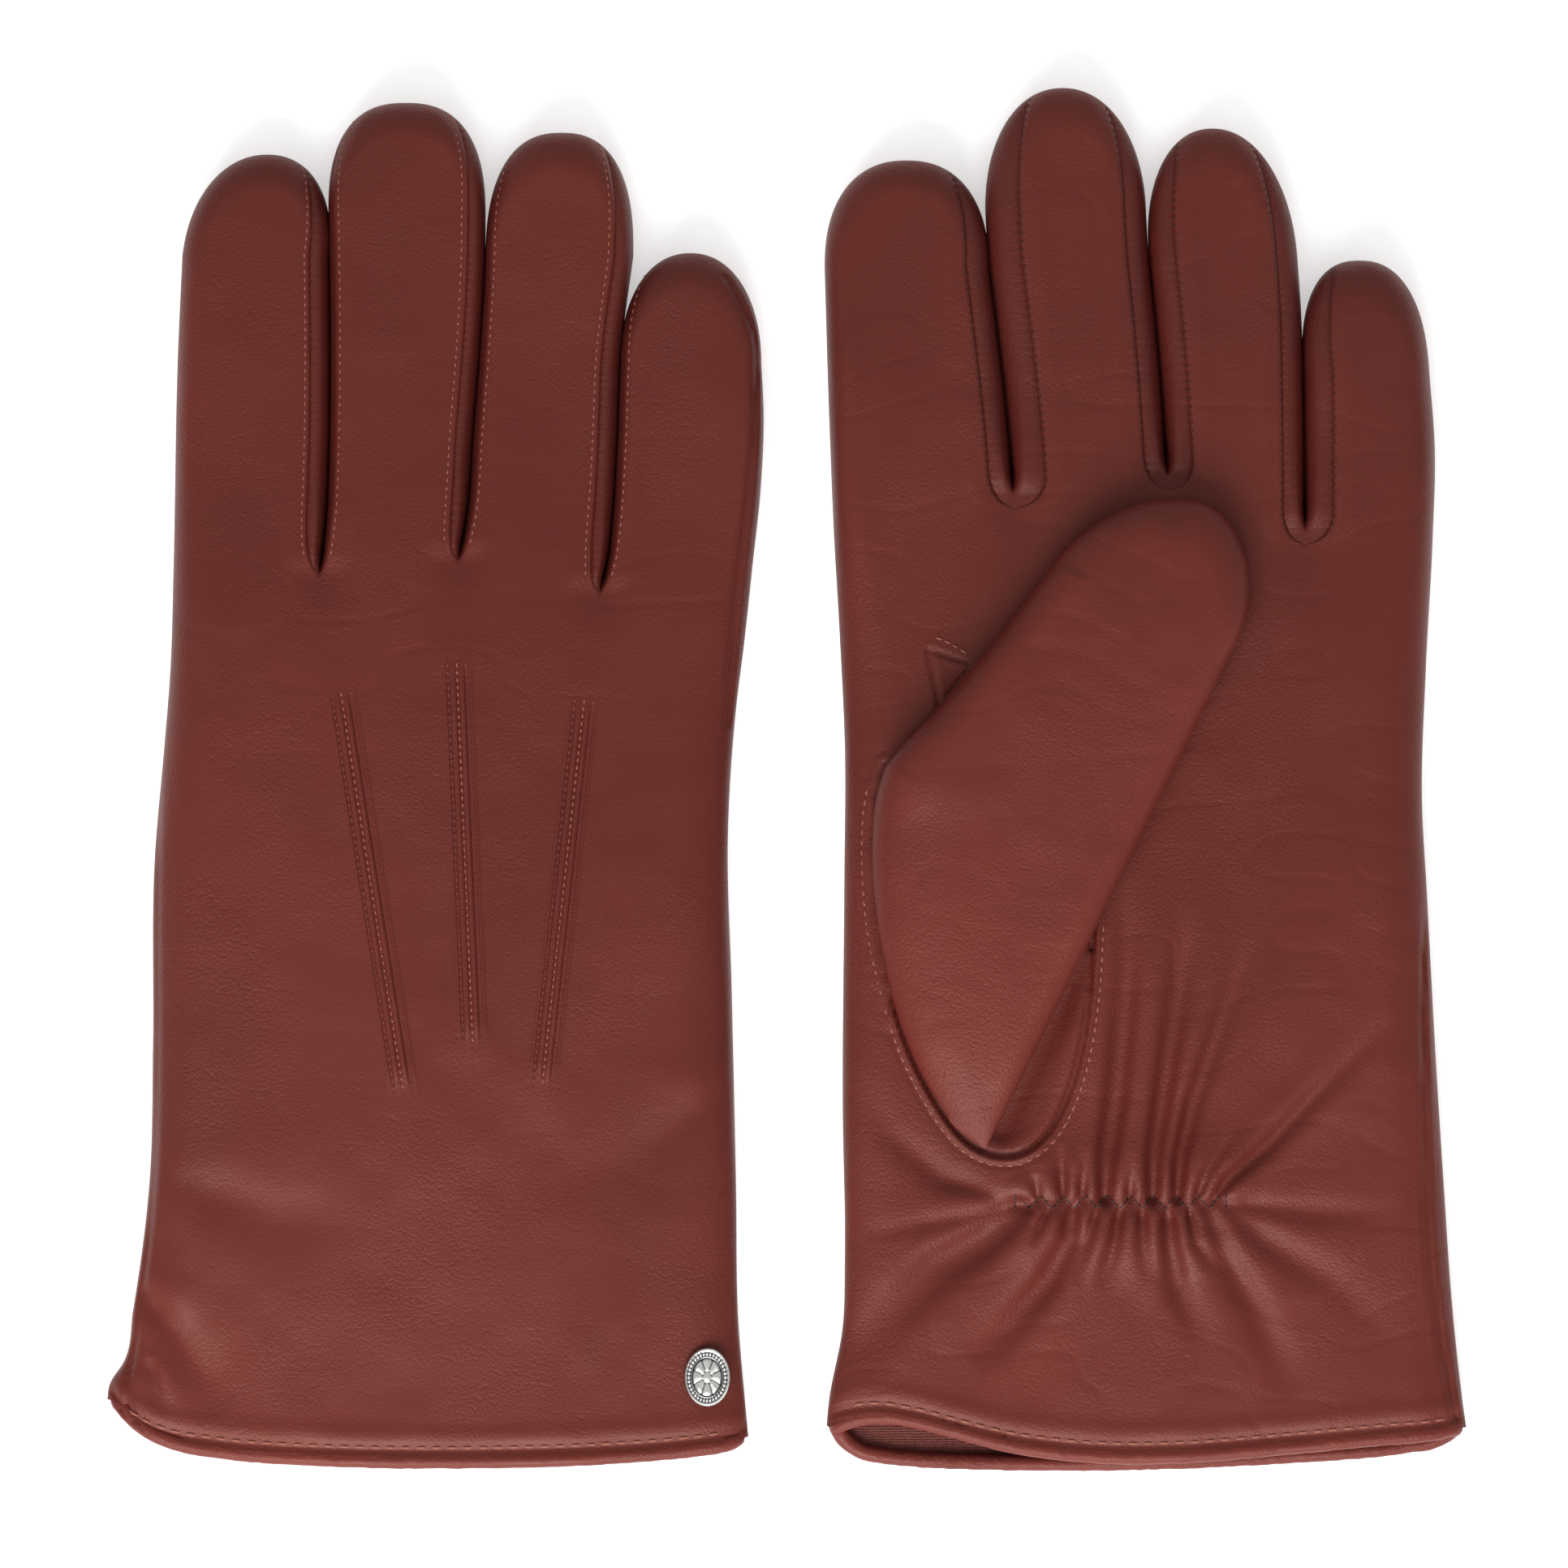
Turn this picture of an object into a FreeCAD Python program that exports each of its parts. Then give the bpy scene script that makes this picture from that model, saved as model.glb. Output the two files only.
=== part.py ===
"""A pair of lined leather dress gloves lying flat: the right one back up, the left one palm up.

Millimetres, +Z up, fingers towards +Y. The origin is under the middle of the pair, on the surface
that the gloves lie on. Both gloves have the index finger on their -X side. Every piece is built in
place, and the thumb of each glove is folded across its palm.
"""
import FreeCAD, Part
import math
import os

V = FreeCAD.Vector

# Layers of the glove wall, from the outside in.
LEATHER = 0.8
SLACK = 0.15
LINING = 1.0
WALL = LEATHER + SLACK + LINING

# Gaps between pieces that move apart.
FINGER_GAP = 0.3
KNUCKLE_GAP = 0.15
THUMB_GAP = 0.3
RECESS_GAP = 0.6        # round a thumb that is tucked into the palm
RECESS_DEPTH = 10.0     # the sides of that recess run down this far, straight

CORNER = 3.5            # rounding of the flattened tubes
PALM_LEVEL = 0.65       # underside of a glove lying on the table
MIDDLE_LEVEL = 5.5      # everywhere between the back and the palm
FINGER_HEIGHT = 12.0
FINGER_TOP = PALM_LEVEL + FINGER_HEIGHT
FOURCHETTE_DEPTH = 3.0  # how far a side strip wraps round on to the back and the palm
FOURCHETTE_STOP = 13.0  # it ends this far short of the fingertip

BINDING_WIDTH = 2.8
BINDING_PROUD = 0.7
BINDING_INNER = WALL + 0.25

POINT_WIDTH = 3.3       # the three raised lines on the back of the hand
POINT_HEIGHT = 0.7

ELASTIC_LENGTH = 41.0
ELASTIC_WIDTH = 6.0
ELASTIC_THICKNESS = 0.5

STITCH_PITCH = 3.9
STITCH_LENGTH = 2.9
STITCH_WIDTH = 0.45
STITCH_HEIGHT = 0.3
STITCH_ABOVE_EDGE = 4.8

BADGE_HALF_WIDTH = 4.2
BADGE_HALF_LENGTH = 5.4
BADGE_THICKNESS = 1.1
BADGE_RIM = 0.9
BADGE_RECESS = 0.3
BEADS = 24
BEAD_RADIUS = 0.33
PRONG_RADIUS = 0.45
PRONG_REACH = 2.6       # from the middle of the badge to each prong
BACKPLATE_THICKNESS = 0.35

FAR = 400.0             # longer than anything here, for cutting shapes
LOW = -30.0             # below everything
HIGH = 60.0             # above everything

# The tip of a finger: share of its length past the shoulder, share of its width, share of its height.
TIP = ((0.0, 1.0, 1.0), (0.45, 0.88, 0.88), (0.75, 0.68, 0.70), (0.93, 0.42, 0.52), (1.0, 0.26, 0.42))

# Hand sections: y, left edge, right edge, underside, top.
# Fingers: root y, left and right edge there, y of the shoulder, left and right edge there,
# y of the tip, and how far the tip leans, dx/dy.
GLOVES = {
    "right": {
        "palm_up": False,
        "centre_x": -64.0,
        "hand": (
            (-134.0, -128.3, -6.8, PALM_LEVEL, 9.7),
            (-115.0, -126.3, -8.5, PALM_LEVEL, 9.7),
            (-103.0, -123.8, -9.5, PALM_LEVEL, 9.7),
            (-70.0, -119.7, -10.1, PALM_LEVEL, 13.5),
            (-35.0, -119.5, -11.0, PALM_LEVEL, 16.0),
            (15.0, -116.7, -9.7, PALM_LEVEL, 16.0),
            (58.0, -115.3, -5.4, PALM_LEVEL, FINGER_TOP),
        ),
        "cuff_arc": ((-130.0, -121.3), (-68.0, -128.8), (-4.0, -125.2)),
        "badge_x": -15.8,
        "badge_face": 9.7,
        "thumb_levels": (0.3, 6.2),
        "thumb_end_height": 5.0,
        "fingers": {
            "index": (53.0, -115.4, -87.1, 98.5, -114.0, -86.6, 116.8, 0.11),
            "middle": (54.5, -87.0, -60.3, 108.5, -86.4, -57.0, 126.9, 0.0),
            "ring": (54.0, -60.3, -33.3, 103.0, -57.2, -28.6, 121.2, 0.0),
            "little": (51.5, -32.9, -5.6, 81.0, -31.0, -5.3, 98.7, -0.02),
        },
    },
    "left": {
        "palm_up": True,
        "centre_x": 64.8,
        "hand": (
            (-134.0, 6.6, 127.9, 1.3, 10.3),
            (-115.0, 8.2, 126.3, 1.3, 10.3),
            (-103.0, 10.0, 124.9, 1.3, 10.3),
            (-60.0, 10.0, 121.9, PALM_LEVEL, FINGER_TOP),
            (-5.0, 10.4, 119.0, PALM_LEVEL, FINGER_TOP),
            (30.0, 9.2, 120.0, PALM_LEVEL, FINGER_TOP),
            (58.0, 7.8, 121.0, PALM_LEVEL, FINGER_TOP),
        ),
        "cuff_arc": ((4.0, -123.4), (66.0, -129.9), (131.0, -124.2)),
        "badge_x": 118.2,
        "badge_face": 1.3,
        "thumb_levels": (FINGER_TOP + THUMB_GAP, 22.4),
        "thumb_end_height": 6.5,
        "fingers": {
            "index": (53.0, 8.1, 41.8, 98.0, 6.6, 37.2, 115.9, 0.03),
            "middle": (54.5, 41.9, 70.4, 111.0, 36.6, 66.8, 129.9, 0.0),
            "ring": (54.0, 70.4, 96.4, 103.5, 67.3, 95.0, 122.1, -0.08),
            "little": (51.5, 96.5, 120.8, 80.0, 96.2, 119.8, 97.3, -0.12),
        },
    },
}

# The thumb, in x from the middle of the hand: its frame starts at the heel and runs up its straight
# right edge. Sections: distance along, left edge, right edge.
THUMB_HEEL = (-24.9, -67.0)
THUMB_DIRECTION = (0.424, 0.906)
THUMB_SECTIONS = (
    (-3.0, -10.0, -1.0),
    (7.0, -21.0, 0.0),
    (31.0, -40.0, 0.0),
    (53.0, -49.0, 0.0),
    (75.0, -44.5, 0.0),
    (100.0, -37.5, 0.0),
    (110.0, -33.0, -1.5),
    (118.0, -27.0, -6.5),
    (122.0, -22.0, -12.0),
)
THUMB_AXIS_POINT = (-46.4, -33.0)
THUMB_AXIS_SLOPE = -0.157

THUMB_HOLE = (
    (-25.8, -55.0), (-35.8, -50.0), (-43.3, -22.0), (-43.8, -2.0), (-31.8, 12.0),
    (-16.8, 24.0), (-2.8, 22.0), (-4.8, -8.0), (-10.8, -20.0), (-21.8, -46.0),
)
GUSSET = ((-38.8, 25.0), (-33.8, 23.5), (-38.3, 15.5))
GUSSET_GAP = 0.05

# The raised lines on the back: far end and wrist end, in x from the middle of the hand.
POINTS = (
    ((-20.3, 17.9), (-7.8, -58.6)),
    ((1.8, 22.4), (4.8, -50.5)),
    ((25.9, 15.9), (17.7, -57.8)),
)
ELASTIC_MIDDLE = (-2.0, -79.0)
BADGE_Y = -112.1


class Frame:
    """A place and a direction in plan: side is to the right of along."""

    def __init__(self, x, y, dx, dy):
        length = math.hypot(dx, dy)
        self.origin = V(x, y, 0)
        self.along = V(dx / length, dy / length, 0)
        self.side = V(dy / length, -dx / length, 0)

    def point(self, s, t, z=0.0):
        return self.origin + self.side * s + self.along * t + V(0, 0, z)


TABLE = Frame(0, 0, 0, 1)


def rounded_section(frame, t, left, right, low, high):
    """A rounded rectangle across a tube, at the distance t along it."""
    r = min(CORNER, 0.45 * (high - low), 0.45 * (right - left))
    bend = r * (1 - math.sqrt(0.5))
    corners = (
        ((right - r, low), (right - bend, low + bend), (right, low + r)),
        ((right, high - r), (right - bend, high - bend), (right - r, high)),
        ((left + r, high), (left + bend, high - bend), (left, high - r)),
        ((left, low + r), (left + bend, low + bend), (left + r, low)),
    )
    edges = []
    previous = corners[-1][-1]
    for start, middle, end in corners:
        a, b, c = (frame.point(s, t, z) for s, z in (start, middle, end))
        edges.append(Part.LineSegment(frame.point(previous[0], t, previous[1]), a).toShape())
        edges.append(Part.Arc(a, b, c).toShape())
        previous = end
    return Part.Wire(edges)


def tube(frame, sections, inset=0.0, closed_start=False, closed_end=False, open_start=False):
    """A solid through sections of (t, left, right, low, high), all its faces moved in by inset."""
    first, last = sections[0][0], sections[-1][0]
    start = first + (inset if closed_start else -inset)
    start = first if open_start else start
    end = last - inset if closed_end else last
    wires = []
    for t, left, right, low, high in sections:
        share = (t - first) / (last - first)
        wires.append(rounded_section(
            frame, start + share * (end - start),
            left + inset, right - inset, low + inset, high - inset))
    return Part.makeLoft(wires, True, True)


def prism(points, low, high):
    """A vertical solid over a closed plan outline of straight sides."""
    corners = [V(x, y, low) for x, y in points]
    face = Part.Face(Part.makePolygon(corners + corners[:1]))
    return face.extrude(V(0, 0, high - low))


def slab(low, high):
    return Part.makeBox(FAR, FAR, high - low, V(-FAR / 2, -FAR / 2, low))


def local(glove, points):
    return [(glove["centre_x"] + x, y) for x, y in points]


# ---- the hand -------------------------------------------------------------------------------

def hand_tube(glove, inset):
    return tube(TABLE, glove["hand"], inset)


def finger_edges(spec, y):
    """The left and right edge of a finger at y, below its rounded tip."""
    root_y, left0, right0, shoulder_y, left1, right1 = spec[:6]
    share = (y - root_y) / (shoulder_y - root_y)
    left = left0 + FINGER_GAP + share * (left1 - left0)
    right = right0 - FINGER_GAP + share * (right1 - right0)
    return left, right


def knuckle_line(glove):
    """The end of the hand: a straight stretch across the root of each finger."""
    line = []
    specs = list(glove["fingers"].values())
    for i, spec in enumerate(specs):
        left, right = finger_edges(spec, spec[0])
        reach_left = 30.0 if i == 0 else FINGER_GAP / 2
        reach_right = 30.0 if i == len(specs) - 1 else FINGER_GAP / 2
        line.append((left - reach_left, spec[0] - KNUCKLE_GAP))
        line.append((right + reach_right, spec[0] - KNUCKLE_GAP))
    return line


def cuff_region(glove, above, below=None):
    """Everything in plan from the cuff's curve, moved up by above, to the knuckles, or to below."""
    a, b, c = (V(x, y + above, 0) for x, y in glove["cuff_arc"])
    if below is None:
        end = [V(x, y, 0) for x, y in reversed(knuckle_line(glove))]
        edges = [Part.Arc(a, b, c).toShape()] + Part.makePolygon([c] + end + [a]).Edges
    else:
        lift = V(0, below - above, 0)
        edges = [
            Part.Arc(a, b, c).toShape(),
            Part.LineSegment(c, c + lift).toShape(),
            Part.Arc(c + lift, b + lift, a + lift).toShape(),
            Part.LineSegment(a + lift, a).toShape(),
        ]
    region = Part.Face(Part.Wire(edges)).extrude(V(0, 0, HIGH - LOW))
    region.translate(V(0, 0, LOW))
    return region


def palm_side(glove):
    return slab(MIDDLE_LEVEL, HIGH) if glove["palm_up"] else slab(LOW, MIDDLE_LEVEL)


def back_side(glove):
    return slab(LOW, MIDDLE_LEVEL) if glove["palm_up"] else slab(MIDDLE_LEVEL, HIGH)


def above_table(shape):
    """Cuts away what would be under the table, which leaves a flat resting face."""
    return shape.common(slab(0, HIGH))


def skin(glove, outer, inner, outline, side):
    """A layer of the hand's wall between two insets, over a plan outline, on one side."""
    layer = hand_tube(glove, outer).cut(hand_tube(glove, inner))
    return layer.common(prism(outline, LOW, HIGH)).common(side)


def thumb_hole(glove):
    """The way from the inside of the hand into the thumb."""
    low, high = glove["thumb_levels"]
    if glove["palm_up"]:
        return prism(local(glove, THUMB_HOLE), MIDDLE_LEVEL, (low + high) / 2)
    return prism(local(glove, THUMB_HOLE), (low + high) / 2, high + RECESS_GAP + WALL + 1)


def shell(glove, outer, inner, recess_outer, recess_inner):
    """The hand's wall between two insets, bulged in over a thumb that is folded underneath."""
    hollow = hand_tube(glove, inner)
    wall = hand_tube(glove, outer)
    if not glove["palm_up"]:
        hollow = hollow.cut(thumb_tube(glove, -recess_inner, RECESS_DEPTH))
        wall = wall.cut(hollow).cut(thumb_tube(glove, -recess_outer, RECESS_DEPTH))
    else:
        wall = wall.cut(hollow)
    wall = wall.common(cuff_region(glove, BINDING_WIDTH + 0.05))
    return wall.cut(thumb_hole(glove))


def trank(glove):
    """The main leather piece as far as the knuckles, with the thumb hole and the badge's holes."""
    wall = shell(glove, 0.0, LEATHER, RECESS_GAP, RECESS_GAP + LEATHER)
    wall = wall.cut(prism(local(glove, GUSSET), LOW, HIGH).common(palm_side(glove)))
    for centre in prong_places(glove):
        wall = wall.cut(Part.makeCylinder(PRONG_RADIUS + 0.05, 6, centre - V(0, 0, 3)))
    return wall


def hand_lining(glove):
    first = LEATHER + SLACK
    wall = shell(glove, first, WALL, RECESS_GAP + first, RECESS_GAP + WALL)
    wall = wall.cut(elastic_layer(glove, LEATHER, LEATHER + ELASTIC_THICKNESS + 0.1, 0.3))
    return wall.cut(backplate_body(glove, 0.1))


def gusset(glove):
    """The small leather quirk let into the palm at the top of the thumb hole."""
    xs, ys = zip(*GUSSET)
    middle = (sum(xs) / 3, sum(ys) / 3)
    share = 1 - GUSSET_GAP / 2
    outline = []
    for x, y in GUSSET:
        outline.append((middle[0] + (x - middle[0]) * share, middle[1] + (y - middle[1]) * share))
    return skin(glove, 0.0, LEATHER, local(glove, outline), palm_side(glove))


def cuff_binding(glove):
    """The leather rolled round the edge of the cuff."""
    ring = hand_tube(glove, -BINDING_PROUD).cut(hand_tube(glove, BINDING_INNER))
    return above_table(ring.common(cuff_region(glove, 0.0, BINDING_WIDTH)))


def back_points(glove):
    """Three raised lines of leather on the back of the hand."""
    bars = []
    for far, near in POINTS:
        dx, dy = far[0] - near[0], far[1] - near[1]
        frame = Frame(glove["centre_x"] + near[0], near[1], dx, dy)
        length = math.hypot(dx, dy)
        half = POINT_WIDTH / 2
        outline = [frame.point(s, t) for s, t in ((-half, 0), (half, 0), (half, length), (-half, length))]
        bar = skin(glove, -POINT_HEIGHT, 0.0, [(p.x, p.y) for p in outline], back_side(glove))
        bars.append(above_table(bar))
    return Part.makeCompound(bars)


def elastic_layer(glove, outer, inner, margin=0.0):
    x, y = local(glove, [ELASTIC_MIDDLE])[0]
    half_x, half_y = ELASTIC_LENGTH / 2 + margin, ELASTIC_WIDTH / 2 + margin
    outline = (
        (x - half_x, y - half_y), (x + half_x, y - half_y),
        (x + half_x, y + half_y), (x - half_x, y + half_y))
    return skin(glove, outer, inner, outline, palm_side(glove))


def wrist_elastic(glove):
    return elastic_layer(glove, LEATHER + 0.05, LEATHER + 0.05 + ELASTIC_THICKNESS)


def cuff_height(glove, x):
    """The y of the cuff's curve at x."""
    circle = Part.Arc(*(V(px, py, 0) for px, py in glove["cuff_arc"])).toShape().Curve
    radius, centre = circle.Radius, circle.Center
    return centre.y - math.sqrt(radius ** 2 - (x - centre.x) ** 2)


def cuff_stitching(glove):
    """One row of stitches round the cuff, on both faces."""
    low, high = glove["hand"][1][3:5]
    left, right = glove["hand"][1][1:3]
    stitches = []
    count = int((right - left - 14) / STITCH_PITCH)
    for i in range(count + 1):
        x = left + 8 + i * STITCH_PITCH
        y = cuff_height(glove, x) + STITCH_ABOVE_EDGE
        for z in (low - STITCH_HEIGHT, high):
            corner = V(x - STITCH_LENGTH / 2, y - STITCH_WIDTH / 2, z)
            stitches.append(Part.makeBox(STITCH_LENGTH, STITCH_WIDTH, STITCH_HEIGHT, corner))
    return Part.makeCompound(stitches)


# ---- the badge ------------------------------------------------------------------------------

def prong_places(glove):
    return [V(glove["badge_x"], BADGE_Y + d, glove["badge_face"]) for d in (-PRONG_REACH, PRONG_REACH)]


def oval(half_width, half_length, thickness):
    """An upright oval plate on z = 0."""
    ellipse = Part.Ellipse(V(0, 0, 0), half_length, half_width)
    plate = Part.Face(Part.Wire([ellipse.toShape()])).extrude(V(0, 0, thickness))
    plate.rotate(V(0, 0, 0), V(0, 0, 1), 90)
    return plate


def set_on_back(glove, shape):
    """Moves a piece that was built on z = 0 to the badge's place, facing out of the back."""
    if glove["palm_up"]:
        shape.rotate(V(0, 0, 0), V(0, 1, 0), 180)
    shape.translate(V(glove["badge_x"], BADGE_Y, glove["badge_face"]))
    return shape


def badge(glove):
    """A plain oval stud with a raised rim, a row of beads, and two prongs through the leather."""
    body = oval(BADGE_HALF_WIDTH, BADGE_HALF_LENGTH, BADGE_THICKNESS)
    recess = oval(BADGE_HALF_WIDTH - BADGE_RIM, BADGE_HALF_LENGTH - BADGE_RIM, BADGE_RECESS)
    recess.translate(V(0, 0, BADGE_THICKNESS - BADGE_RECESS))
    body = body.cut(recess)
    dome = Part.makeSphere(6.0, V(0, 0, BADGE_THICKNESS - 6.0 - 0.02))
    core = oval(BADGE_HALF_WIDTH - 2.2, BADGE_HALF_LENGTH - 2.2, BADGE_THICKNESS)
    body = body.fuse(core.common(dome))
    reach_x = BADGE_HALF_WIDTH - BADGE_RIM - BEAD_RADIUS - 0.1
    reach_y = BADGE_HALF_LENGTH - BADGE_RIM - BEAD_RADIUS - 0.1
    for i in range(BEADS):
        angle = 2 * math.pi * i / BEADS
        place = V(reach_x * math.cos(angle), reach_y * math.sin(angle), BADGE_THICKNESS - BADGE_RECESS)
        body = body.fuse(Part.makeSphere(BEAD_RADIUS, place))
    depth = LEATHER + 0.05 + BACKPLATE_THICKNESS
    for d in (-PRONG_REACH, PRONG_REACH):
        body = body.fuse(Part.makeCylinder(PRONG_RADIUS, depth + 0.2, V(0, d, -depth)))
    return set_on_back(glove, body)


def backplate_body(glove, margin=0.0):
    half_x, half_y = 2.2 + margin, 4.0 + margin
    top = -(LEATHER + 0.05) + margin
    thickness = BACKPLATE_THICKNESS + 2 * margin
    plate = Part.makeBox(2 * half_x, 2 * half_y, thickness, V(-half_x, -half_y, top - thickness))
    return set_on_back(glove, plate)


def badge_backplate(glove):
    plate = backplate_body(glove)
    for centre in prong_places(glove):
        plate = plate.cut(Part.makeCylinder(PRONG_RADIUS + 0.05, 8, centre - V(0, 0, 4)))
    return plate


# ---- fingers --------------------------------------------------------------------------------

def finger_tube(spec, inset, start):
    """The outer shape of a finger moved in by inset, from the distance start to its closed tip."""
    root_y, shoulder_y, tip_y, lean = spec[0], spec[3], spec[6], spec[7]
    left0, right0 = finger_edges(spec, root_y)
    left1, right1 = finger_edges(spec, shoulder_y)
    middle, half = (left1 + right1) / 2, (right1 - left1) / 2
    level, half_height = PALM_LEVEL + FINGER_HEIGHT / 2, FINGER_HEIGHT / 2
    sections = [(root_y + start, left0, right0, PALM_LEVEL, FINGER_TOP)]
    for share, width, height in TIP:
        y = shoulder_y + share * (tip_y - shoulder_y)
        x = middle + lean * (y - shoulder_y)
        low, high = level - half_height * height, level + half_height * height
        sections.append((y, x - half * width, x + half * width, low, high))
    return tube(TABLE, sections, inset, closed_end=True, open_start=True)


def finger_wall(spec, outer, inner):
    return finger_tube(spec, outer, KNUCKLE_GAP).cut(finger_tube(spec, inner, -1.0))


def strip_boxes(name, spec):
    """Where the side strips are: on every side of a finger that faces another finger."""
    start, stop = spec[0] - 5, spec[6] - FOURCHETTE_STOP
    (left0, right0), (left1, right1) = finger_edges(spec, start), finger_edges(spec, stop)
    lines = []
    if name != "index":
        lines.append((left0 + FOURCHETTE_DEPTH, left1 + FOURCHETTE_DEPTH, -40))
    if name != "little":
        lines.append((right0 - FOURCHETTE_DEPTH, right1 - FOURCHETTE_DEPTH, 40))
    boxes = []
    for near, far, reach in lines:
        outline = ((near, start), (near + reach, start), (far + reach, stop), (far, stop))
        boxes.append(prism(outline, LOW, HIGH))
    return boxes


def finger_sheath(name, spec):
    """The back and the palm of a finger, joined round its tip."""
    wall = finger_wall(spec, 0.0, LEATHER)
    for box in strip_boxes(name, spec):
        wall = wall.cut(box)
    return wall


def fourchettes(name, spec):
    """The side strips of a finger."""
    wall = finger_wall(spec, 0.0, LEATHER)
    return Part.makeCompound([wall.common(box) for box in strip_boxes(name, spec)])


def finger_lining(spec):
    return finger_wall(spec, LEATHER + SLACK, WALL)


# ---- the thumb ------------------------------------------------------------------------------

def thumb_tube(glove, inset, deeper=0.0):
    """The outer shape of the folded thumb, moved in by inset, with its underside lowered by deeper."""
    heel_x, heel_y = local(glove, [THUMB_HEEL])[0]
    frame = Frame(heel_x, heel_y, *THUMB_DIRECTION)
    low, high = glove["thumb_levels"]
    ends = (THUMB_SECTIONS[0], THUMB_SECTIONS[-1])
    sections = []
    for section in THUMB_SECTIONS:
        height = glove["thumb_end_height"] if section in ends else high - low
        base = (low + high - height) / 2 if glove["palm_up"] else low
        sections.append((*section, base - deeper, base + height))
    return tube(frame, sections, inset, closed_start=True, closed_end=True)


def thumb_wall(glove, outer, inner):
    wall = thumb_tube(glove, outer).cut(thumb_tube(glove, inner))
    return wall.cut(thumb_hole(glove))


def build_glove(glove):
    """Every piece of one glove, by name."""
    pieces = {
        "trank": trank(glove),
        "thumb_gusset": gusset(glove),
        "cuff_binding": cuff_binding(glove),
        "cuff_stitching": cuff_stitching(glove),
        "back_points": back_points(glove),
        "wrist_elastic": wrist_elastic(glove),
        "hand_lining": hand_lining(glove),
        "badge": badge(glove),
        "badge_backplate": badge_backplate(glove),
        "thumb_sheath": thumb_wall(glove, 0.0, LEATHER),
        "thumb_lining": thumb_wall(glove, LEATHER + SLACK, WALL),
    }
    for name, spec in glove["fingers"].items():
        strips = "fourchettes" if name in ("middle", "ring") else "fourchette"
        pieces[f"{name}_sheath"] = finger_sheath(name, spec)
        pieces[f"{name}_{strips}"] = fourchettes(name, spec)
        pieces[f"{name}_lining"] = finger_lining(spec)
    return pieces


def main():
    os.makedirs("parts", exist_ok=True)
    for side, glove in GLOVES.items():
        for name, shape in build_glove(glove).items():
            solids = shape.Solids
            good = all(s.isValid() and s.Volume > 0 for s in solids)
            print(f"{side}_{name}: {len(solids)} solids, {shape.Volume:.1f} mm3, {'ok' if good else 'BAD'}")
            Part.makeCompound(solids).exportStep(f"parts/{side}_{name}.step")


if __name__ == "__main__":
    main()
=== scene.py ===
"""The looks of a pair of lined leather dress gloves: the right one back up, the left one palm up.

Lengths are millimetres in the frame of the CAD model (+Z up, fingers towards +Y), and they become
metres where a mesh is made. "Upper" is the face of a glove that looks up, whichever face that is.
"""
import bpy
import numpy as np
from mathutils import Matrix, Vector


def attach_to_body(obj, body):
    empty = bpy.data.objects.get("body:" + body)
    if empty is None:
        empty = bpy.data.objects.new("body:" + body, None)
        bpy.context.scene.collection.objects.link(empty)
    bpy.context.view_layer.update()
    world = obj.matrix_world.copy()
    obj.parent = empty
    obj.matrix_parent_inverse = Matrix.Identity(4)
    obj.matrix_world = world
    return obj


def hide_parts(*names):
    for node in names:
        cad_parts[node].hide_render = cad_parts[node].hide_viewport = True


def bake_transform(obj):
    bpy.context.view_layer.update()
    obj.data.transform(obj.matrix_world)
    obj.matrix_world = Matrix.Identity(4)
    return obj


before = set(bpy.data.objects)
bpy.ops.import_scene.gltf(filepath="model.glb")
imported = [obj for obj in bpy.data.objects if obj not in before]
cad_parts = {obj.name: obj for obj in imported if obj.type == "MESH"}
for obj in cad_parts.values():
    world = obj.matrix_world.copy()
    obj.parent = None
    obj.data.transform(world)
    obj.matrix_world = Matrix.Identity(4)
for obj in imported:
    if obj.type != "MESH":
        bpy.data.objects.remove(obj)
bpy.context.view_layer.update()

MM = 0.001
SPLIT_Y = 30.0            # the hand's piece ends here and the fingers' pieces start
CUFF_Y = -124.0
ROW_STEP = 0.55
COLUMN_STEP = 0.6
SEAM_DROP = 0.75          # how deep a seam's edge is turned in
FINGER_STITCH_PITCH = 1.55
POINT_STITCH_PITCH = 1.4
CUFF_STITCH_PITCH = 2.9
CUFF_STITCH_RISE = 2.5
BINDING_RADIUS = 1.6
TIP_ROWS = 44


# ---- small tools ----------------------------------------------------------------------------

def smooth(t):
    t = np.clip(t, 0, 1)
    return t * t * (3 - 2 * t)


def quarter(t):
    """From 0 to 1 along a quarter of a circle."""
    t = np.clip(t, 0, 1)
    return np.sqrt(1 - (1 - t) ** 2)


def mix(a, b, share):
    return a + (b - a) * share


def bell(distance, width):
    """1 at no distance, falling to 0 over about twice the width."""
    return np.exp(-(distance / width) ** 2)


def unit(vectors):
    """The same directions with length 1."""
    return vectors / np.maximum(np.linalg.norm(vectors, axis=-1, keepdims=True), 1e-9)


def curve(*points):
    """A smooth function through (t, value) points, flat beyond them."""
    t = np.array([p[0] for p in points], float)
    v = np.array([p[1] for p in points], float)
    slope = np.gradient(v, t)

    def value(at):
        at = np.clip(np.asarray(at, float), t[0], t[-1])
        i = np.clip(np.searchsorted(t, at) - 1, 0, len(t) - 2)
        width = t[i + 1] - t[i]
        s = (at - t[i]) / width
        start = (1 + 2 * s) * (1 - s) ** 2 * v[i] + s * (1 - s) ** 2 * width * slope[i]
        end = s * s * (3 - 2 * s) * v[i + 1] + s * s * (s - 1) * width * slope[i + 1]
        return start + end

    return value


def lattice(ix, iy, seed):
    """A repeatable number from -1 to 1 for each whole-number place."""
    wave = np.sin(ix * 127.1 + iy * 311.7 + seed * 74.7) * 43758.5453
    return 2 * (wave - np.floor(wave)) - 1


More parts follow.
